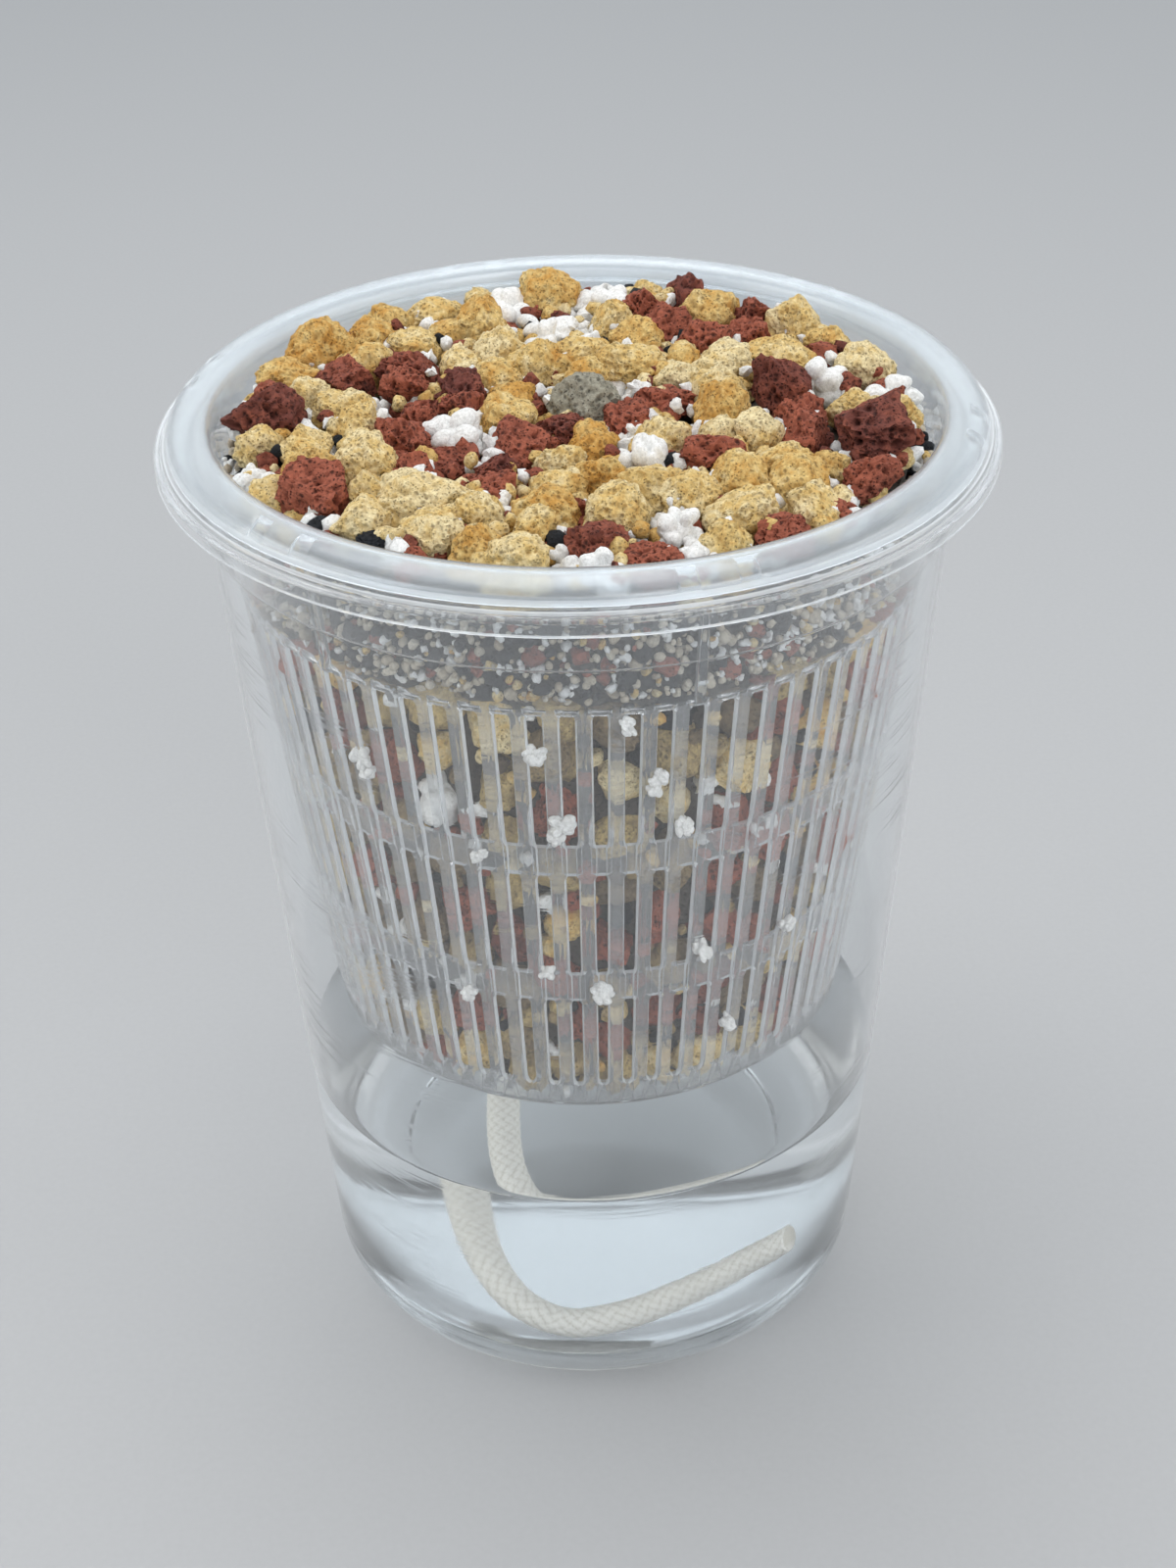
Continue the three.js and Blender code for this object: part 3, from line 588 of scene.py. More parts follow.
def cord_mesh(name, points, radius, pitch):
    """A knitted cord along a line: plaited stitches stand proud of the gaps between them."""
    line, along = smooth_line(np.array(points) * MM, 0.2 * MM)
    ahead = np.gradient(line, axis=0)
    ahead /= np.linalg.norm(ahead, axis=1)[:, None]
    side = np.cross(ahead[0], (1.0, 0.3, 0.2))
    sides, count = CORD_SIDES, len(line)
    angle = np.arange(sides) * TURN / sides
    rings, tones = [], []
    for i in range(count):
        side = side - ahead[i] * np.dot(side, ahead[i])
        side /= np.linalg.norm(side)
        up = np.cross(ahead[i], side)
        across = angle / TURN * STITCHES
        lift = along[i] / pitch
        first, second = across + lift, across - lift
        over = (np.floor(first) + np.floor(second)) % 2 == 0
        bump = np.where(over, np.abs(np.sin(math.pi * first)), np.abs(np.sin(math.pi * second)))
        reach = radius * (1 - STITCH_DEPTH + STITCH_DEPTH * np.sqrt(bump))
        if i in (0, count - 1):
            reach = reach * 0.93  # ends drawn in a little
        rings.append(line[i] + reach[:, None] * (np.cos(angle)[:, None] * side + np.sin(angle)[:, None] * up))
        # How deep each point lies between the stitches, which the wick's material darkens as painted shade
        tones.append(1 - bump)
    points = np.vstack(rings)
    tone = np.concatenate(tones)
    ring = np.arange(sides)
    following = (ring + 1) % sides
    start = np.arange(count - 1)[:, None] * sides
    quads = np.stack(
        [start + ring, start + following, start + sides + following, start + sides + ring], axis=-1
    ).reshape(-1, 4)
    obj = mesh_object(name, points, quads, tone=tone)
    activate(obj)
    bpy.ops.object.mode_set(mode="EDIT")
    bpy.ops.mesh.select_mode(type="EDGE")
    bpy.ops.mesh.select_all(action="DESELECT")
    bpy.ops.mesh.select_non_manifold()
    bpy.ops.mesh.edge_face_add()
    bpy.ops.mesh.select_all(action="SELECT")
    bpy.ops.mesh.delete_loose()
    leave_edit_mode()
    smooth(obj, 60)
    return obj, line[::5], along[-1]


# Stones and grains


def perlite_lumps(points, rng):
    """A ball's points pushed out to a cluster of beads, fewer and larger ones where the points are few."""
    count, swell = (18, 1.0) if len(points) > 300 else (7, 1.4)
    reach = np.full(len(points), 0.42)
    for _ in range(count):
        middle = rng.normal(size=3)
        middle *= rng.uniform(0.4, 0.66) / np.linalg.norm(middle)
        along = points @ middle
        inside = (swell * rng.uniform(0.2, 0.34)) ** 2 - middle @ middle + along**2
        bead = np.where((inside > 0) & (along > 0), along + np.sqrt(np.maximum(inside, 0)), 0)
        reach = np.maximum(reach, bead)
    return points * reach[:, None]


def shape_stone(points, kind, rng):
    """Shapes a unit ball's points into a stone: points one across each way, and how deep each lies in a pit."""
    faces, near, crisp, lump, grain, pit, pores = {
        "pumice": (8, 0.62, 0.8, 0.17, 0.08, 0.14, 3.6),
        "damp_pumice": (9, 0.58, 0.85, 0.17, 0.08, 0.14, 3.6),
        "grey_stone": (9, 0.66, 0.9, 0.10, 0.08, 0.16, 3.6),
        "sand": (7, 0.6, 0.9, 0.10, 0.06, 0.0, 4.0),
        "lava_rock": (12, 0.52, 0.95, 0.14, 0.10, 0.34, 3.3),
        "perlite": (0, 0.8, 0.5, 0.14, 0.03, 0.0, 6.5),
        "charcoal": (8, 0.6, 0.7, 0.18, 0.16, 0.22, 3.6),
    }[kind]
    made = perlite_lumps(points, rng) if kind == "perlite" and len(points) > 40 else points.copy()
    for _ in range(faces):
        normal = rng.normal(size=3)
        normal /= np.linalg.norm(normal)
        beyond = made @ normal - rng.uniform(near, 0.95)
        made -= np.outer(np.maximum(beyond, 0), normal) * crisp
    shift = Vector(rng.uniform(-50, 50, 3))
    hollow = np.zeros(len(made))
    for i, point in enumerate(made):
        where = Vector(point)
        swell = noise.noise(where * 1.3 + shift) * lump + noise.noise(where * 2.9 + shift) * lump * 0.6
        rough = noise.fractal(where * 4.5 + shift, 0.9, 2.1, 4) * grain
        # How deep a point lies in a pit: the point is pushed in by it, and the stone's material darkens it as painted
        # shade
        if pit:
            wide = max(0.0, 1 - noise.voronoi(where * pores + shift)[0][0] / 0.42)
            small = max(0.0, 1 - noise.voronoi(where * pores * 2.3 + shift)[0][0] / 0.4)
            hollow[i] = min(1.0, wide + 0.5 * small)
        made[i] = point * (1 + swell + rough - pit * hollow[i])
    low, high = made.min(axis=0), made.max(axis=0)
    return (made - (low + high) / 2) / (high - low), hollow


def ball_points(levels):
    """Points and faces of a ball of triangles."""
    ball = new_shape(bpy.ops.mesh.primitive_ico_sphere_add, subdivisions=levels, radius=1)
    points = np.empty(len(ball.data.vertices) * 3)
    ball.data.vertices.foreach_get("co", points)
    faces = np.array([tuple(p.vertices) for p in ball.data.polygons])
    bpy.data.objects.remove(ball)
    return points.reshape(-1, 3), faces


def any_turn(rng):
    """A turn matrix in any direction."""
    return np.array(Quaternion(rng.normal(size=4)).normalized().to_matrix())


def grains(name, kind, places, rng, steps=(1.0, 3.2, 5.5, 8.0)):
    """One mesh of many grains of a kind, from (middle, size, tone) in metres.

    A grain has the more faces the more of the steps in size, in millimetres, it passes: the least is a few.
    """
    points, faces, tones, hollows = [], [], [], []
    patterns = {}
    start = 0
    for middle, size, tone in places:
        level = 1 + sum(size > step * MM for step in steps)
        if level not in patterns:
            ball, triangles = ball_points(level)
            patterns[level] = triangles, [shape_stone(ball, kind, rng) for _ in range(14)]
        triangles, shapes = patterns[level]
        shape, hollow = shapes[rng.integers(len(shapes))]
        stretch = size * rng.uniform(0.7, 1.2, 3)
        points.append((shape * stretch) @ any_turn(rng).T + middle)
        faces.append(triangles + start)
        tones.append(np.full(len(shape), tone))
        hollows.append(hollow)
        start += len(shape)
    obj = mesh_object(
        name, np.vstack(points), np.vstack(faces), tone=np.concatenate(tones), hollow=np.concatenate(hollows)
    )
    smooth(obj, 50)
    return obj


def pick_kind(rng, shares):
    kinds = list(shares)
    weights = np.array([shares[k] for k in kinds], float)
    return kinds[rng.choice(len(kinds), p=weights / weights.sum())]


def tone_of(kind, rng):
    """How deep a stone's colour is, from 0 to 1."""
    low, high = {
        "pumice": (0.05, 0.75), "damp_pumice": (0.1, 0.85), "grey_stone": (0.4, 0.6), "sand": (0.0, 0.7),
        "lava_rock": (0.2, 0.95), "perlite": (0.0, 0.4), "charcoal": (0.3, 0.7),
    }[kind]
    return rng.uniform(low, high)


def at_wall(angle, z, size, inset, back=0.0):
    """Middle of a grain that lies against the inside of the basket's wall, in millimetres."""
    r = basket_radius(z) - inset - size * 0.5 - back
    return np.array([r * math.cos(angle), r * math.sin(angle), z])


def proud_stones(node, within):
    """Angle and height of the stones that stand proud on the rough side of a solid of the mix."""
    spots = set()
    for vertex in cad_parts[node].data.vertices:
        x, y, z = (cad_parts[node].matrix_world @ vertex.co) / MM
        if math.hypot(x, y) > basket_radius(z) - FILL_INSET - within:
            spots.add((round(math.atan2(y, x), 2), round(z, 1)))
    return sorted(spots)


def rough_side(node):
    """How far behind the wall the rough side of a solid of the mix lies at an angle and a height, in millimetres."""
    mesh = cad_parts[node].data
    tree = BVHTree.FromPolygons([v.co for v in mesh.vertices], [p.vertices for p in mesh.polygons])
    from_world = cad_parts[node].matrix_world.inverted()

    def behind(angle, z):
        out = Vector((math.cos(angle), math.sin(angle), 0))
        start = from_world @ (out * 60 * MM + Vector((0, 0, z * MM)))
        hit = tree.ray_cast(start, from_world.to_3x3() @ -out)[0]
        return 0.0 if hit is None else basket_radius(z) - FILL_INSET - math.hypot(hit.x, hit.y) / MM

    return behind


def pack_wall(rng, low, high, rounds, inset, first=(), behind=None):
    """Places for grains against the inside of the basket's wall: {kind: [(middle, size, tone)]}.

    Each round is (size, tries, shares of the kinds, how far back the grains may lie), largest grains first.
    The first ones, as (angle, height, size, kind), are laid before them.
    """
    made = {}
    taken = np.empty((0, 4))
    for angle, z, size, kind in first:
        middle = at_wall(angle, z, size, inset)
        taken = np.vstack([taken, [*middle, size]])
        made.setdefault(kind, []).append((middle * MM, size * MM, tone_of(kind, rng)))
    for size, tries, shares, back in rounds:
        for _ in range(tries):
            here = size * rng.uniform(0.8, 1.2)
            z = rng.uniform(low + here * 0.4, high - here * 0.4)
            angle = rng.uniform(-math.pi, math.pi)
            depth = rng.uniform(0, back) + (behind(angle, z) if behind else 0)
            middle = at_wall(angle, z, here, inset, depth)
            if np.any(np.linalg.norm(taken[:, :3] - middle, axis=1) < 0.42 * (taken[:, 3] + here)):
                continue
            taken = np.vstack([taken, [*middle, here]])
            kind = pick_kind(rng, shares)
            made.setdefault(kind, []).append((middle * MM, here * MM, tone_of(kind, rng)))
    return made


def mix_heart(node, outline):
    """Dark heart of a mix, which stands for its solid: the mix's own dark colour, deepened as painted shade for the
    gaps between the grains.
    """
    heart = turned(node + "_heart", outline, HEART_SIDES)
    smooth(heart, 40)
    fit_piece(heart, "basket", node, stone_materials()["heart"], node)


def lay_grains(prefix, places, rng, *steps):
    """One piece of grains for each kind in a mix."""
    for kind, spots in places.items():
        piece = grains(prefix + kind, kind, spots, rng, *steps)
        fit_piece(piece, "basket", MIX_OF.get(kind, kind), stone_materials()[kind])


# Operators


class POT_OT_stage(bpy.types.Operator):
    """Camera, lamps, world and studio floor"""

    bl_idname = "pot.stage"
    bl_label = "Stage"

    def execute(self, context):
        scene = context.scene
        distance, tilt, roll = 382.7 * MM, math.radians(32.33), math.radians(-1.215)
        aim = Vector((0.38 * MM, 0, 85.25 * MM))
        lens = bpy.data.cameras.new("Camera")
        lens.lens = 57.67
        lens.clip_start = 0.01
        camera = bpy.data.objects.new("Camera", lens)
        scene.collection.objects.link(camera)
        upright, rolled = Matrix.Rotation(math.pi / 2 - tilt, 4, "X"), Matrix.Rotation(roll, 4, "Z")
        camera.matrix_world = Matrix.Translation(aim) @ upright @ rolled @ Matrix.Translation((0, 0, distance))
        scene.camera = camera

        floor = new_shape(bpy.ops.mesh.primitive_plane_add, "studio_floor", size=8)
        material, tree = new_material("Studio floor")
        fleck = cloud(tree, add_node(tree, "TexCoord").outputs["Object"], 900.0, 4.0)
        tint = scene.pot_colours.floor
        skin = mix_colours(tree, fleck, tint, (*(v * 0.93 for v in tint[:3]), 1))
        shader = add_node(tree, "BsdfPrincipled", {"Base Color": skin, "Roughness": 0.7})
        floor.data.materials.append(finish_material(material, tree, shader))

        for name, where, width, height, power, tint in (
            ("Overhead softbox", (-0.08, 0.12, 0.9), 0.7, 0.7, 3.7, (1, 1, 1)),
            ("Back softbox", (0.0, 1.4, 0.85), 3.0, 1.1, 5.6, (0.86, 0.95, 1)),
            ("Front fill", (0.5, -1.0, 0.65), 0.7, 0.7, 4.2, (1, 1, 1)),
            ("Left edge", (-0.9, -0.15, 0.4), 0.6, 0.7, 2.4, (1, 0.97, 0.9)),
            ("Right edge", (0.9, -0.15, 0.4), 0.6, 0.7, 1.6, (1, 0.97, 0.9)),
        ):
            lamp = bpy.data.lights.new(name, "AREA")
            lamp.energy = power
            lamp.color = tint
            lamp.shape = "RECTANGLE"
            lamp.size = width
            lamp.size_y = height
            holder = bpy.data.objects.new(name, lamp)
            holder.location = where
            holder.rotation_euler = (Vector((0, 0, 0.09)) - Vector(where)).to_track_quat("-Z", "Y").to_euler()
            scene.collection.objects.link(holder)

        world = bpy.data.worlds.new("Studio")
        scene.world = world
        world.use_nodes = True
        sky = world.node_tree.nodes["Background"].inputs
        sky["Color"].default_value = (0.92, 0.96, 1.0, 1)
        sky["Strength"].default_value = 0.5
        scene.view_settings.view_transform = "Standard"
        return {"FINISHED"}


class POT_OT_wick(bpy.types.Operator):
    """Knitted wick: its free tail and its run in the mix"""

    bl_idname = "pot.wick"
    bl_label = "Wick"

    def execute(self, context):
        sizes = context.scene.pot_sizes
        material = wick_material()
        tail, line, length = cord_mesh("wick", WICK_TAIL, sizes.wick_diameter / 2, sizes.weave_pitch)
        fit_piece(tail, "basket", "wick_cord", material, "wick_tail")
        core, _, _ = cord_mesh("wick_in_mix", WICK_CORE, sizes.wick_diameter / 2, sizes.weave_pitch)
        fit_piece(core, "basket", "wick_cord", material, "wick_core")
        return {"FINISHED"}


class POT_OT_cup(bpy.types.Operator):
    """Clear cup with a foot ring, a stacking step and a flange"""

    bl_idname = "pot.cup"
    bl_label = "Cup"

    def execute(self, context):
        wall = context.scene.pot_sizes.cup_wall / MM
        top = CUP_BOX[1][2] / MM
        edge = CUP_BOX[1][0] / MM
        inner = lambda z: cup_radius(z) - wall
        foot, corner, rise = CUP_FOOT, CUP_CORNER, CUP_PUSH_UP
        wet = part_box("reservoir_water")[1][2] / MM + WATER_CREEP
        # Stacking step: a height on the wall, how far out from there, and the point's own height
        step = [(134.6, 0, 134.6), (134.9, 0.05, 134.9), (135, 0.2, 135.05), (135, 0.5, 135.15), (135.3, 0.6, 135.3)]
        outline = [
            (0, rise), (20, rise), (29.2, rise), (30.0, 1.05), (30.6, 0.6), (31.1, 0.15), (31.6, 0),
            *arc(foot, corner, corner, corner, -90, -4.3, 10),
            (cup_radius(wet), wet), (cup_radius(60), 60), *((cup_radius(at) + out, z) for at, out, z in step),
            (cup_radius(144.4) + 0.6, 144.4),
            *arc(cup_radius(145) + 1.2, 144.6, 0.6, 0.6, 180, 90, 3),
            *arc(edge - wall - 0.5, top - wall - 0.5, 0.5, 0.5, 90, 0, 3),
            (edge - wall, 143.25), (edge - wall * 0.75, 143.02), (edge - wall * 0.25, 143.02), (edge, 143.25),
            *arc(edge - 0.9, 144.75, 0.9, 0.75, 0, 80, 5),
            (edge - 1.1, 145.6), (edge - 1.25, 145.9), (edge - 1.5, top), (54.4, top),
            *arc(inner(145) + 1.2, top - 0.6, 0.6, 0.6, 90, 180, 3),
            *((inner(at) + out, z) for at, out, z in reversed(step)), (inner(60), 60), (inner(wet), wet),
            *arc(foot, corner, corner - wall, corner - wall, -4.3, -90, 10),
            (31.6, wall), (30.9, wall + 0.15), (30.3, wall + 0.7), (29.7, wall + 1.08), (29, wall + rise),
            (20, wall + rise), (0, wall + rise),
        ]
        cup = turned("cup", outline, CUP_SIDES)
        smooth(cup, 40)
        tint = context.scene.pot_colours.cup
        material = plastic_material("Clear cup plastic", tint, 0.972, 0.5, 0.03, 0.2, (0.96, 0.97, 0.98))
        fit_piece(cup, "reservoir", "cup_plastic", material, "reservoir_cup")
        wetted = plastic_material("Wet cup plastic", tint, 0.965, 0.15, 0.06, 0.08, (0.99, 0.995, 1.0))
        paint(cup, wetted, lambda r, z, out: z < wet)
        skirt_foot = lambda r, z: r > edge - wall - 0.1 and z < 143.3
        bevel = lambda r, z: edge - 1.6 < r < edge - 1 and z > 145.5
        # Painted highlight: the cup's rims and cut edges take a milkier plastic that stands for the bright lines of
        # light along them
        paint(cup, frosted_edge_and_highlight("Cup edges and painted highlight"), lambda r, z, out: skirt_foot(r, z) or bevel(r, z))
        return {"FINISHED"}


class POT_OT_water(bpy.types.Operator):
    """Water with a curved edge where it wets the cup"""

    bl_idname = "pot.water"
    bl_label = "Water"

    def execute(self, context):
        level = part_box("reservoir_water")[1][2] / MM
        bite = context.scene.pot_sizes.cup_wall / MM - 0.15
        edge = lambda z: cup_radius(z) - bite
        outline = [
            (0, 1.9), (20, 1.9), (29, 1.9), (30.3, 1.35), (31.6, 0.68),
            *arc(CUP_FOOT, CUP_CORNER, CUP_CORNER - bite, CUP_CORNER - bite, -90, -4.3, 10),
            (edge(20), 20), (edge(level), level), (edge(level + WATER_CREEP), level + WATER_CREEP),
            (edge(level) - 0.5, level + 0.45), (edge(level) - 0.9, level + 0.2), (edge(level) - 1.6, level + 0.06),
            (edge(level) - 2.6, level), (20, level), (0, level),
        ]
        water = turned("water", outline, CUP_SIDES)
        smooth(water, 50)
        fit_piece(water, "reservoir", "water", water_material(), "reservoir_water")
        return {"FINISHED"}


class POT_OT_basket(bpy.types.Operator):
    """Slotted basket with a domed and notched lip"""

    bl_idname = "pot.basket"
    bl_label = "Basket"

    def execute(self, context):
        sizes = context.scene.pot_sizes
        wall, rib, columns = sizes.basket_wall / MM, sizes.rib_width / MM, sizes.slot_columns
        seat = BASKET_BOX[1][2] / MM - LIP_RISE
        bottom = BASKET_BOX[0][2] / MM
        middle = lambda z: basket_radius(z) - wall / 2
        flat = bottom + wall / 2
        crest = LIP_CREST
        whole = lambda points: [(r, z, 1.0, False) for r, z in points]
        rows = whole((r, flat) for r in (0.0, 12.0, 20.0)) + [(r, flat, 0.8, False) for r in (28.0, 35.0)]
        rows += whole([(middle(flat) - 1.4, flat), (middle(flat) - 0.5, flat + 0.2), (middle(flat + 1), flat + 1.0)])
        for (low, high), (foot, above) in zip(SLOT_TIERS, ((0.4, 0.8), (0.75, 0.92), (0.75, 0.92))):
            shares = ((low, foot), (low + 0.45, above), (low + 1.1, 1.0))
            rows += [(middle(z), z, share, True) for z, share in shares]
            rows += [(middle(z), z, 1.0, True) for z in np.linspace(low + 1.1, high - 0.9, 4)[1:]]
            rows += [(middle(high - 0.35), high - 0.35, 0.92, True), (middle(high), high, 0.75, False)]
        bend = seat + 1.2
        dome = arc(crest, seat, LIP_HALF - wall / 2, LIP_RISE - wall / 2, 90, 0, 6)
        rows += whole([
            (middle(127.2) + 0.25, 127.2), (middle(128.2) + 0.25, 128.2),
            *((middle(z), z) for z in (128.8, 135.0, 141.0, 145.5)),
            *arc(crest, bend, crest - middle(bend), 1.55, 180, 90, 4), *dome[1:],
        ])

        last = len(rows) - 1
        basket = new_shape(bpy.ops.mesh.primitive_grid_add, "basket", x_subdivisions=5, y_subdivisions=last, size=1)
        half = TURN / columns / 2
        shape = bmesh.new()
        shape.from_mesh(basket.data)
        doomed = []
        for face in shape.faces:
            middle_of = face.calc_center_median()
            row = int((middle_of.y + 0.5) * last)
            if rows[row][3] and abs(middle_of.x) < 0.1:
                doomed.append(face)
        bmesh.ops.delete(shape, geom=doomed, context="FACES")
        for vertex in shape.verts:
            column = round((vertex.co.x + 0.5) * 5)
            r, z, share, _ = rows[round((vertex.co.y + 0.5) * last)]
            bar = rib / 2 / max(r, 8)
            opening = (half - min(bar, half * 0.6)) * share
            edge = min(opening + 0.12 / max(r, 8), half * 0.98)
            angle = (-half, -edge, -opening, opening, edge, half)[column]
            if SLOT_FOOT < z < SLOT_HEAD:
                r += -0.15 if column in (2, 3) else 0.15
            vertex.co = (r * MM * math.cos(angle), r * MM * math.sin(angle), z * MM)
        turn_by = Matrix.Rotation(half, 4, "Z")
        bmesh.ops.transform(shape, matrix=turn_by, verts=shape.verts)
        shape.to_mesh(basket.data)
        shape.free()

        activate(basket)
        bpy.ops.object.mode_set(mode="EDIT")
        bpy.ops.mesh.select_all(action="SELECT")
        bpy.ops.mesh.spin(steps=columns, dupli=True, angle=TURN, center=(0, 0, 0), axis=(0, 0, 1))
        bpy.ops.mesh.select_all(action="SELECT")
        bpy.ops.mesh.remove_doubles(threshold=0.004 * MM)
        bpy.ops.mesh.dissolve_degenerate(threshold=0.001 * MM)
        drains = bmesh.from_edit_mesh(basket.data)
        bpy.ops.mesh.select_all(action="DESELECT")
        bpy.ops.mesh.select_mode(type="FACE")
        for face in drains.faces:
            where = face.calc_center_median()
            r = math.hypot(where.x, where.y) / MM
            step = math.atan2(where.y, where.x) / (2 * half) - 0.5
            on_slot = abs(step - round(step)) < 0.2 and round(step) % 3 == 1
            face.select_set(where.z / MM < flat + 0.1 and 28.5 < r < 34.5 and on_slot)
        bmesh.update_edit_mesh(basket.data)
        bpy.ops.mesh.delete(type="FACE")
        leave_edit_mode()
        apply_modifier(basket, "SOLIDIFY", thickness=wall * MM, offset=0.0, use_even_offset=True)
        self.cut_notches(basket, seat, crest)
        apply_modifier(
            basket, "BEVEL", width=0.16 * MM, segments=2, limit_method="ANGLE", angle_limit=math.radians(50)
        )
        join(basket, self.spacers(seat))
        smooth(basket, 40)
        tint = context.scene.pot_colours.basket
        material = plastic_material("Clear basket plastic", tint, 0.97, 0.1, 0.05, 0.05, (0.96, 0.97, 0.98))
        fit_piece(basket, "basket", "basket_plastic", material, "slotted_basket")
        bars = plastic_material("Milky basket plastic", tint, 0.88, 0.2, 0.1, 0.1, (0.95, 0.96, 0.97))
        paint(basket, bars, lambda r, z, out: z < SLOT_HEAD)
        lip = plastic_material("Basket lip plastic", (0.9, 0.945, 0.98, 1), 0.88, 0.2, 0.2, 0.2, (0.92, 0.93, 0.94))
        paint(basket, lip, lambda r, z, out: z > seat)
        in_slot = lambda r, z, out: SLOT_FOOT < z < SLOT_HEAD and r > 36 and abs(out) < 0.6
        at_rim = lambda r, z, out: r > crest + 3 and z < seat + 0.3
        # Painted highlight: the basket's slot edges and rim take a milkier plastic that stands for the bright lines of
        # light along them
        paint(basket, frosted_edge_and_highlight("Basket edges and painted highlight"), lambda *face: in_slot(*face) or at_rim(*face))
        return {"FINISHED"}

    def cut_notches(self, basket, seat, crest):
        """Presses pairs of shallow notches into the lip, and makes the wick's hole."""
        out = Vector((0.615, 0, 0.788))
        part_way = 0.7071  # from the crest down the dome of the lip
        spot = Vector((crest + LIP_HALF * part_way, 0, seat + LIP_RISE * part_way))
        place = (spot + out * 0.18) * MM
        cutters = [
            round_block(NOTCH_SIZE, 0.5, place, math.radians(NOTCH_TILT), math.radians(angle) + side / LIP_EDGE)
            for angle in PAIR_ANGLES
            for side in (-NOTCH_PITCH / 2, NOTCH_PITCH / 2)
        ]
        x, y, z = WICK_CORE[0]
        hole = new_shape(bpy.ops.mesh.primitive_cylinder_add, vertices=32, radius=WICK_HOLE * MM, depth=6 * MM)
        hole.data.transform(Matrix.Translation((x * MM, y * MM, z * MM)))
        join(hole, cutters)
        apply_modifier(basket, "BOOLEAN", operation="DIFFERENCE", object=hole, solver="EXACT")
        bpy.data.objects.remove(hole)

    def spacers(self, seat):
        """Upright ribs on the outside of the collar."""
        low, high = SPACER_FOOT, seat - SPACER_DROP
        z = (low + high) / 2
        size = (*SPACER_SIZE, high - low)
        place = (basket_radius(z) * MM + 0.2 * MM, 0, z * MM)
        lean = math.atan(WALL_SLOPE)
        return [round_block(size, 0.35, place, lean, math.radians(angle)) for angle in PAIR_ANGLES]


class POT_OT_coarse_mix(bpy.types.Operator):
    """Stones behind the slots, round a dark heart of mix"""

    bl_idname = "pot.coarse_mix"
    bl_label = "Coarse mix"

    def execute(self, context):
        rng = np.random.default_rng(11)
        grain = context.scene.pot_sizes.coarse_grain / MM
        low, high = (corner[2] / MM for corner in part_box("coarse_mix"))
        mix_heart("coarse_mix", [(0, low), *((basket_radius(z) - 5, z) for z in (low, 90, high)), (0, high)])
        stones = {"damp_pumice": 0.52, "pumice": 0.12, "lava_rock": 0.28, "perlite": 0.04, "charcoal": 0.04}
        chips = {"damp_pumice": 0.36, "pumice": 0.14, "lava_rock": 0.2, "perlite": 0.2, "charcoal": 0.1}
        first = []
        for angle, z in proud_stones("coarse_mix", 0.8):
            size = grain * rng.uniform(1.0, 1.3)
            kind = pick_kind(rng, stones)
            if abs(math.degrees(angle) - RUSTY_STONE[0]) < 5 and abs(z - RUSTY_STONE[1]) < 4:
                kind = "pumice"
            z = min(max(z, low + size * 0.4), high - size * 0.4)
            first.append((angle, z, size, kind))
        rounds = [
            (grain * 0.75, 2400, stones, 1.6), (grain * 0.5, 2600, chips, 1.8), (grain * 0.32, 3000, chips, 2.0),
        ]
        lay_grains("coarse_", pack_wall(rng, low, high, rounds, 1.0, first), rng, (1.0, 5.5, 8.0))
        stray = []
        for angle, z, size in STRAY_BITS:
            r = basket_radius(z) + 0.45
            middle = np.array([r * math.cos(math.radians(angle)), r * math.sin(math.radians(angle)), z])
            stray.append((middle * MM, size * MM, 0.1))
        lay_grains("stray_", {"perlite": stray}, rng, (0.5, 1.0, 1.5))
        return {"FINISHED"}


class POT_OT_fine_mix(bpy.types.Operator):
    """Fine perlite and char behind the collar"""

    bl_idname = "pot.fine_mix"
    bl_label = "Fine mix"

    def execute(self, context):
        rng = np.random.default_rng(23)
        grain = context.scene.pot_sizes.fine_grain / MM
        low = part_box("fine_mix")[0][2] / MM
        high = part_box("top_grit")[0][2] / MM + GRIT_BED
        mix_heart("fine_mix", [(0, low), *((basket_radius(z) - 4.6, z) for z in (low, high)), (0, high)])
        dark = {"charcoal": 0.84, "lava_rock": 0.16}
        pale = {"sand": 0.55, "perlite": 0.22, "pumice": 0.08, "lava_rock": 0.03, "charcoal": 0.12}
        rounds = [
            (grain * 2.3, 150, dark, 0.1), (grain * 1.5, 360, dark, 0.3), (grain, 5200, pale, 0.6),
            (grain * 0.75, 7000, pale, 0.8), (grain * 0.55, 6000, pale, 1.0),
        ]
        places = pack_wall(rng, low, high, rounds, 0.95, behind=rough_side("fine_mix"))
        lay_grains("fine_", places, rng)
        return {"FINISHED"}


class POT_OT_top_stones(bpy.types.Operator):
    """Large stones of the top layer, each where its solid is"""

    bl_idname = "pot.top_stones"
    bl_label = "Top stones"

    def execute(self, context):
        rng = np.random.default_rng(5)
        materials = stone_materials()
        ball, faces = ball_points(5)
        for name in STONE_NODES:
            kind = name.rsplit("_", 1)[0]
            low, high = (np.array(corner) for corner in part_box(name))
            shape, hollow = shape_stone(ball, kind, rng)
            size = (high - low) * np.array([1.1, 1.1, 1.12])
            middle = (low + high) / 2 - np.array([0, 0, 0.06]) * (high - low)
            points = shape * size + middle
            depth = tone_of(kind, rng)
            tone = np.full(len(points), STONE_TONES.get(name, depth))
            piece = mesh_object("top_" + name, points, faces, tone=tone, hollow=hollow)
            smooth(piece, 60)
            fit_piece(piece, "basket", kind, materials[kind], name)
        return {"FINISHED"}


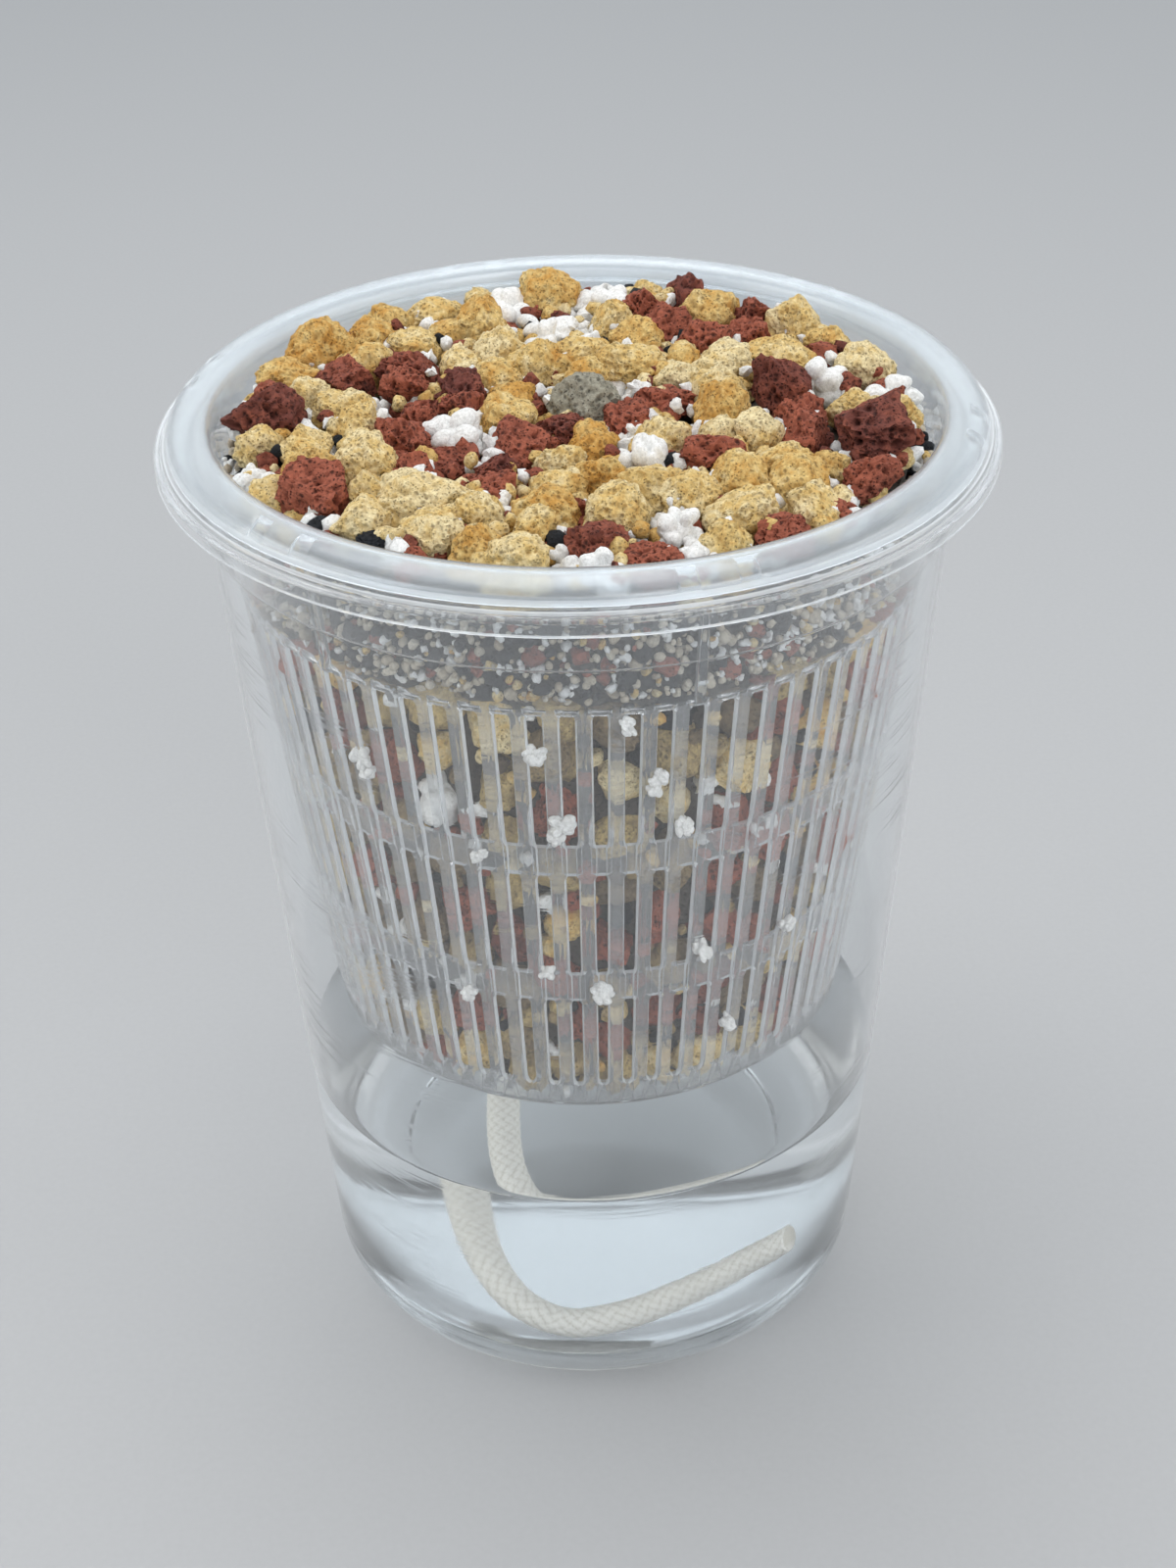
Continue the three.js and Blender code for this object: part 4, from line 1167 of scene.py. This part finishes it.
class POT_OT_top_grit(bpy.types.Operator):
    """Smaller stones and grains that fill the top layer between the large stones"""

    bl_idname = "pot.top_grit"
    bl_label = "Top grit"

    def execute(self, context):
        rng = np.random.default_rng(7)
        materials = stone_materials()
        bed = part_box("top_grit")[0][2] / MM + GRIT_BED
        stones = {"pumice": 0.62, "lava_rock": 0.29, "perlite": 0.09}
        chips = {"pumice": 0.42, "lava_rock": 0.2, "perlite": 0.34, "charcoal": 0.04}
        places = {}

        def lay(x, y, top, size, sort, shares):
            kind = pick_kind(rng, shares)
            middle = np.array([x, y, top - size * 0.45])
            places.setdefault((sort, kind), []).append((middle * MM, size * MM, tone_of(kind, rng)))

        for x, y, size in self.stone_spots(bed):
            lay(x, y, bed + 2.8 + 0.5 * size, size * 1.04, "stones", stones)
        for size, count, top in ((5.0, 260, 3.6), (3.6, 360, 4.6), (2.6, 420, 5.0)):
            for _ in range(count):
                r = math.sqrt(rng.uniform(0, 1)) * (TOP_ROOM - size / 2)
                angle = rng.uniform(0, TURN)
                x, y = r * math.cos(angle), r * math.sin(angle)
                lay(x, y, bed + top + rng.uniform(-1, 0.6), size * rng.uniform(0.8, 1.2), "chips", chips)
        for (sort, kind), spots in sorted(places.items()):
            piece = grains(f"{kind}_{sort}", kind, spots, rng)
            stands_for = ["top_grit"] if (sort, kind) == ("stones", "pumice") else []
            fit_piece(piece, "basket", kind, materials[kind], *stands_for)
        return {"FINISHED"}

    def stone_spots(self, bed):
        """Spots of the small stones, as the solid has them: tried from the middle outwards, largest first."""
        boxes = np.array([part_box(name) for name in STONE_NODES]) / MM
        middles = (boxes[:, 0] + boxes[:, 1])[:, :2] / 2
        reach = (boxes[:, 1] - boxes[:, 0])[:, :2].mean(axis=1) / 2
        room = basket_radius(bed) - FILL_INSET
        made = np.empty((0, 3))
        for size in GRIT_SIZES:
            for i in range(math.ceil(math.pi * room**2 / GRIT_SPOT_GAP**2)):
                out = GRIT_SPOT_GAP * math.sqrt((i + 0.5) / math.pi)
                x, y = out * math.cos(i * GOLDEN_TURN), out * math.sin(i * GOLDEN_TURN)
                nestles = np.all(np.hypot(*(middles - (x, y)).T) > reach + GRIT_NESTLE * size)
                fits = np.all(np.hypot(*(made[:, :2] - (x, y)).T) > GRIT_CROWD * (made[:, 2] + size))
                if out + size / 2 < room and nestles and fits:
                    made = np.vstack([made, [x, y, size]])
        return made


class POT_PT_panel(bpy.types.Panel):
    """Sizes, colours and makers of the pot"""

    bl_idname = "POT_PT_panel"
    bl_label = "Self-watering pot"
    bl_space_type = "VIEW_3D"
    bl_region_type = "UI"
    bl_category = "Pot"

    def draw(self, context):
        layout = self.layout
        for group in (context.scene.pot_sizes, context.scene.pot_colours):
            column = layout.column(align=True)
            for key in group.__annotations__:
                column.prop(group, key)
        for operator in OPERATORS:
            layout.operator(operator.bl_idname)


OPERATORS = (
    POT_OT_stage, POT_OT_wick, POT_OT_cup, POT_OT_water, POT_OT_basket, POT_OT_coarse_mix, POT_OT_fine_mix,
    POT_OT_top_stones, POT_OT_top_grit,
)
CLASSES = (PotSizes, PotColours, *OPERATORS, POT_PT_panel)


def register():
    for cls in CLASSES:
        bpy.utils.register_class(cls)
    bpy.types.Scene.pot_sizes = PointerProperty(type=PotSizes)
    bpy.types.Scene.pot_colours = PointerProperty(type=PotColours)


def unregister():
    del bpy.types.Scene.pot_colours
    del bpy.types.Scene.pot_sizes
    for cls in reversed(CLASSES):
        bpy.utils.unregister_class(cls)


def main():
    register()
    bpy.ops.pot.stage()
    bpy.ops.pot.wick()
    bpy.ops.pot.cup()
    bpy.ops.pot.water()
    bpy.ops.pot.basket()
    bpy.ops.pot.coarse_mix()
    bpy.ops.pot.fine_mix()
    bpy.ops.pot.top_stones()
    bpy.ops.pot.top_grit()


if __name__ == "__main__":
    main()
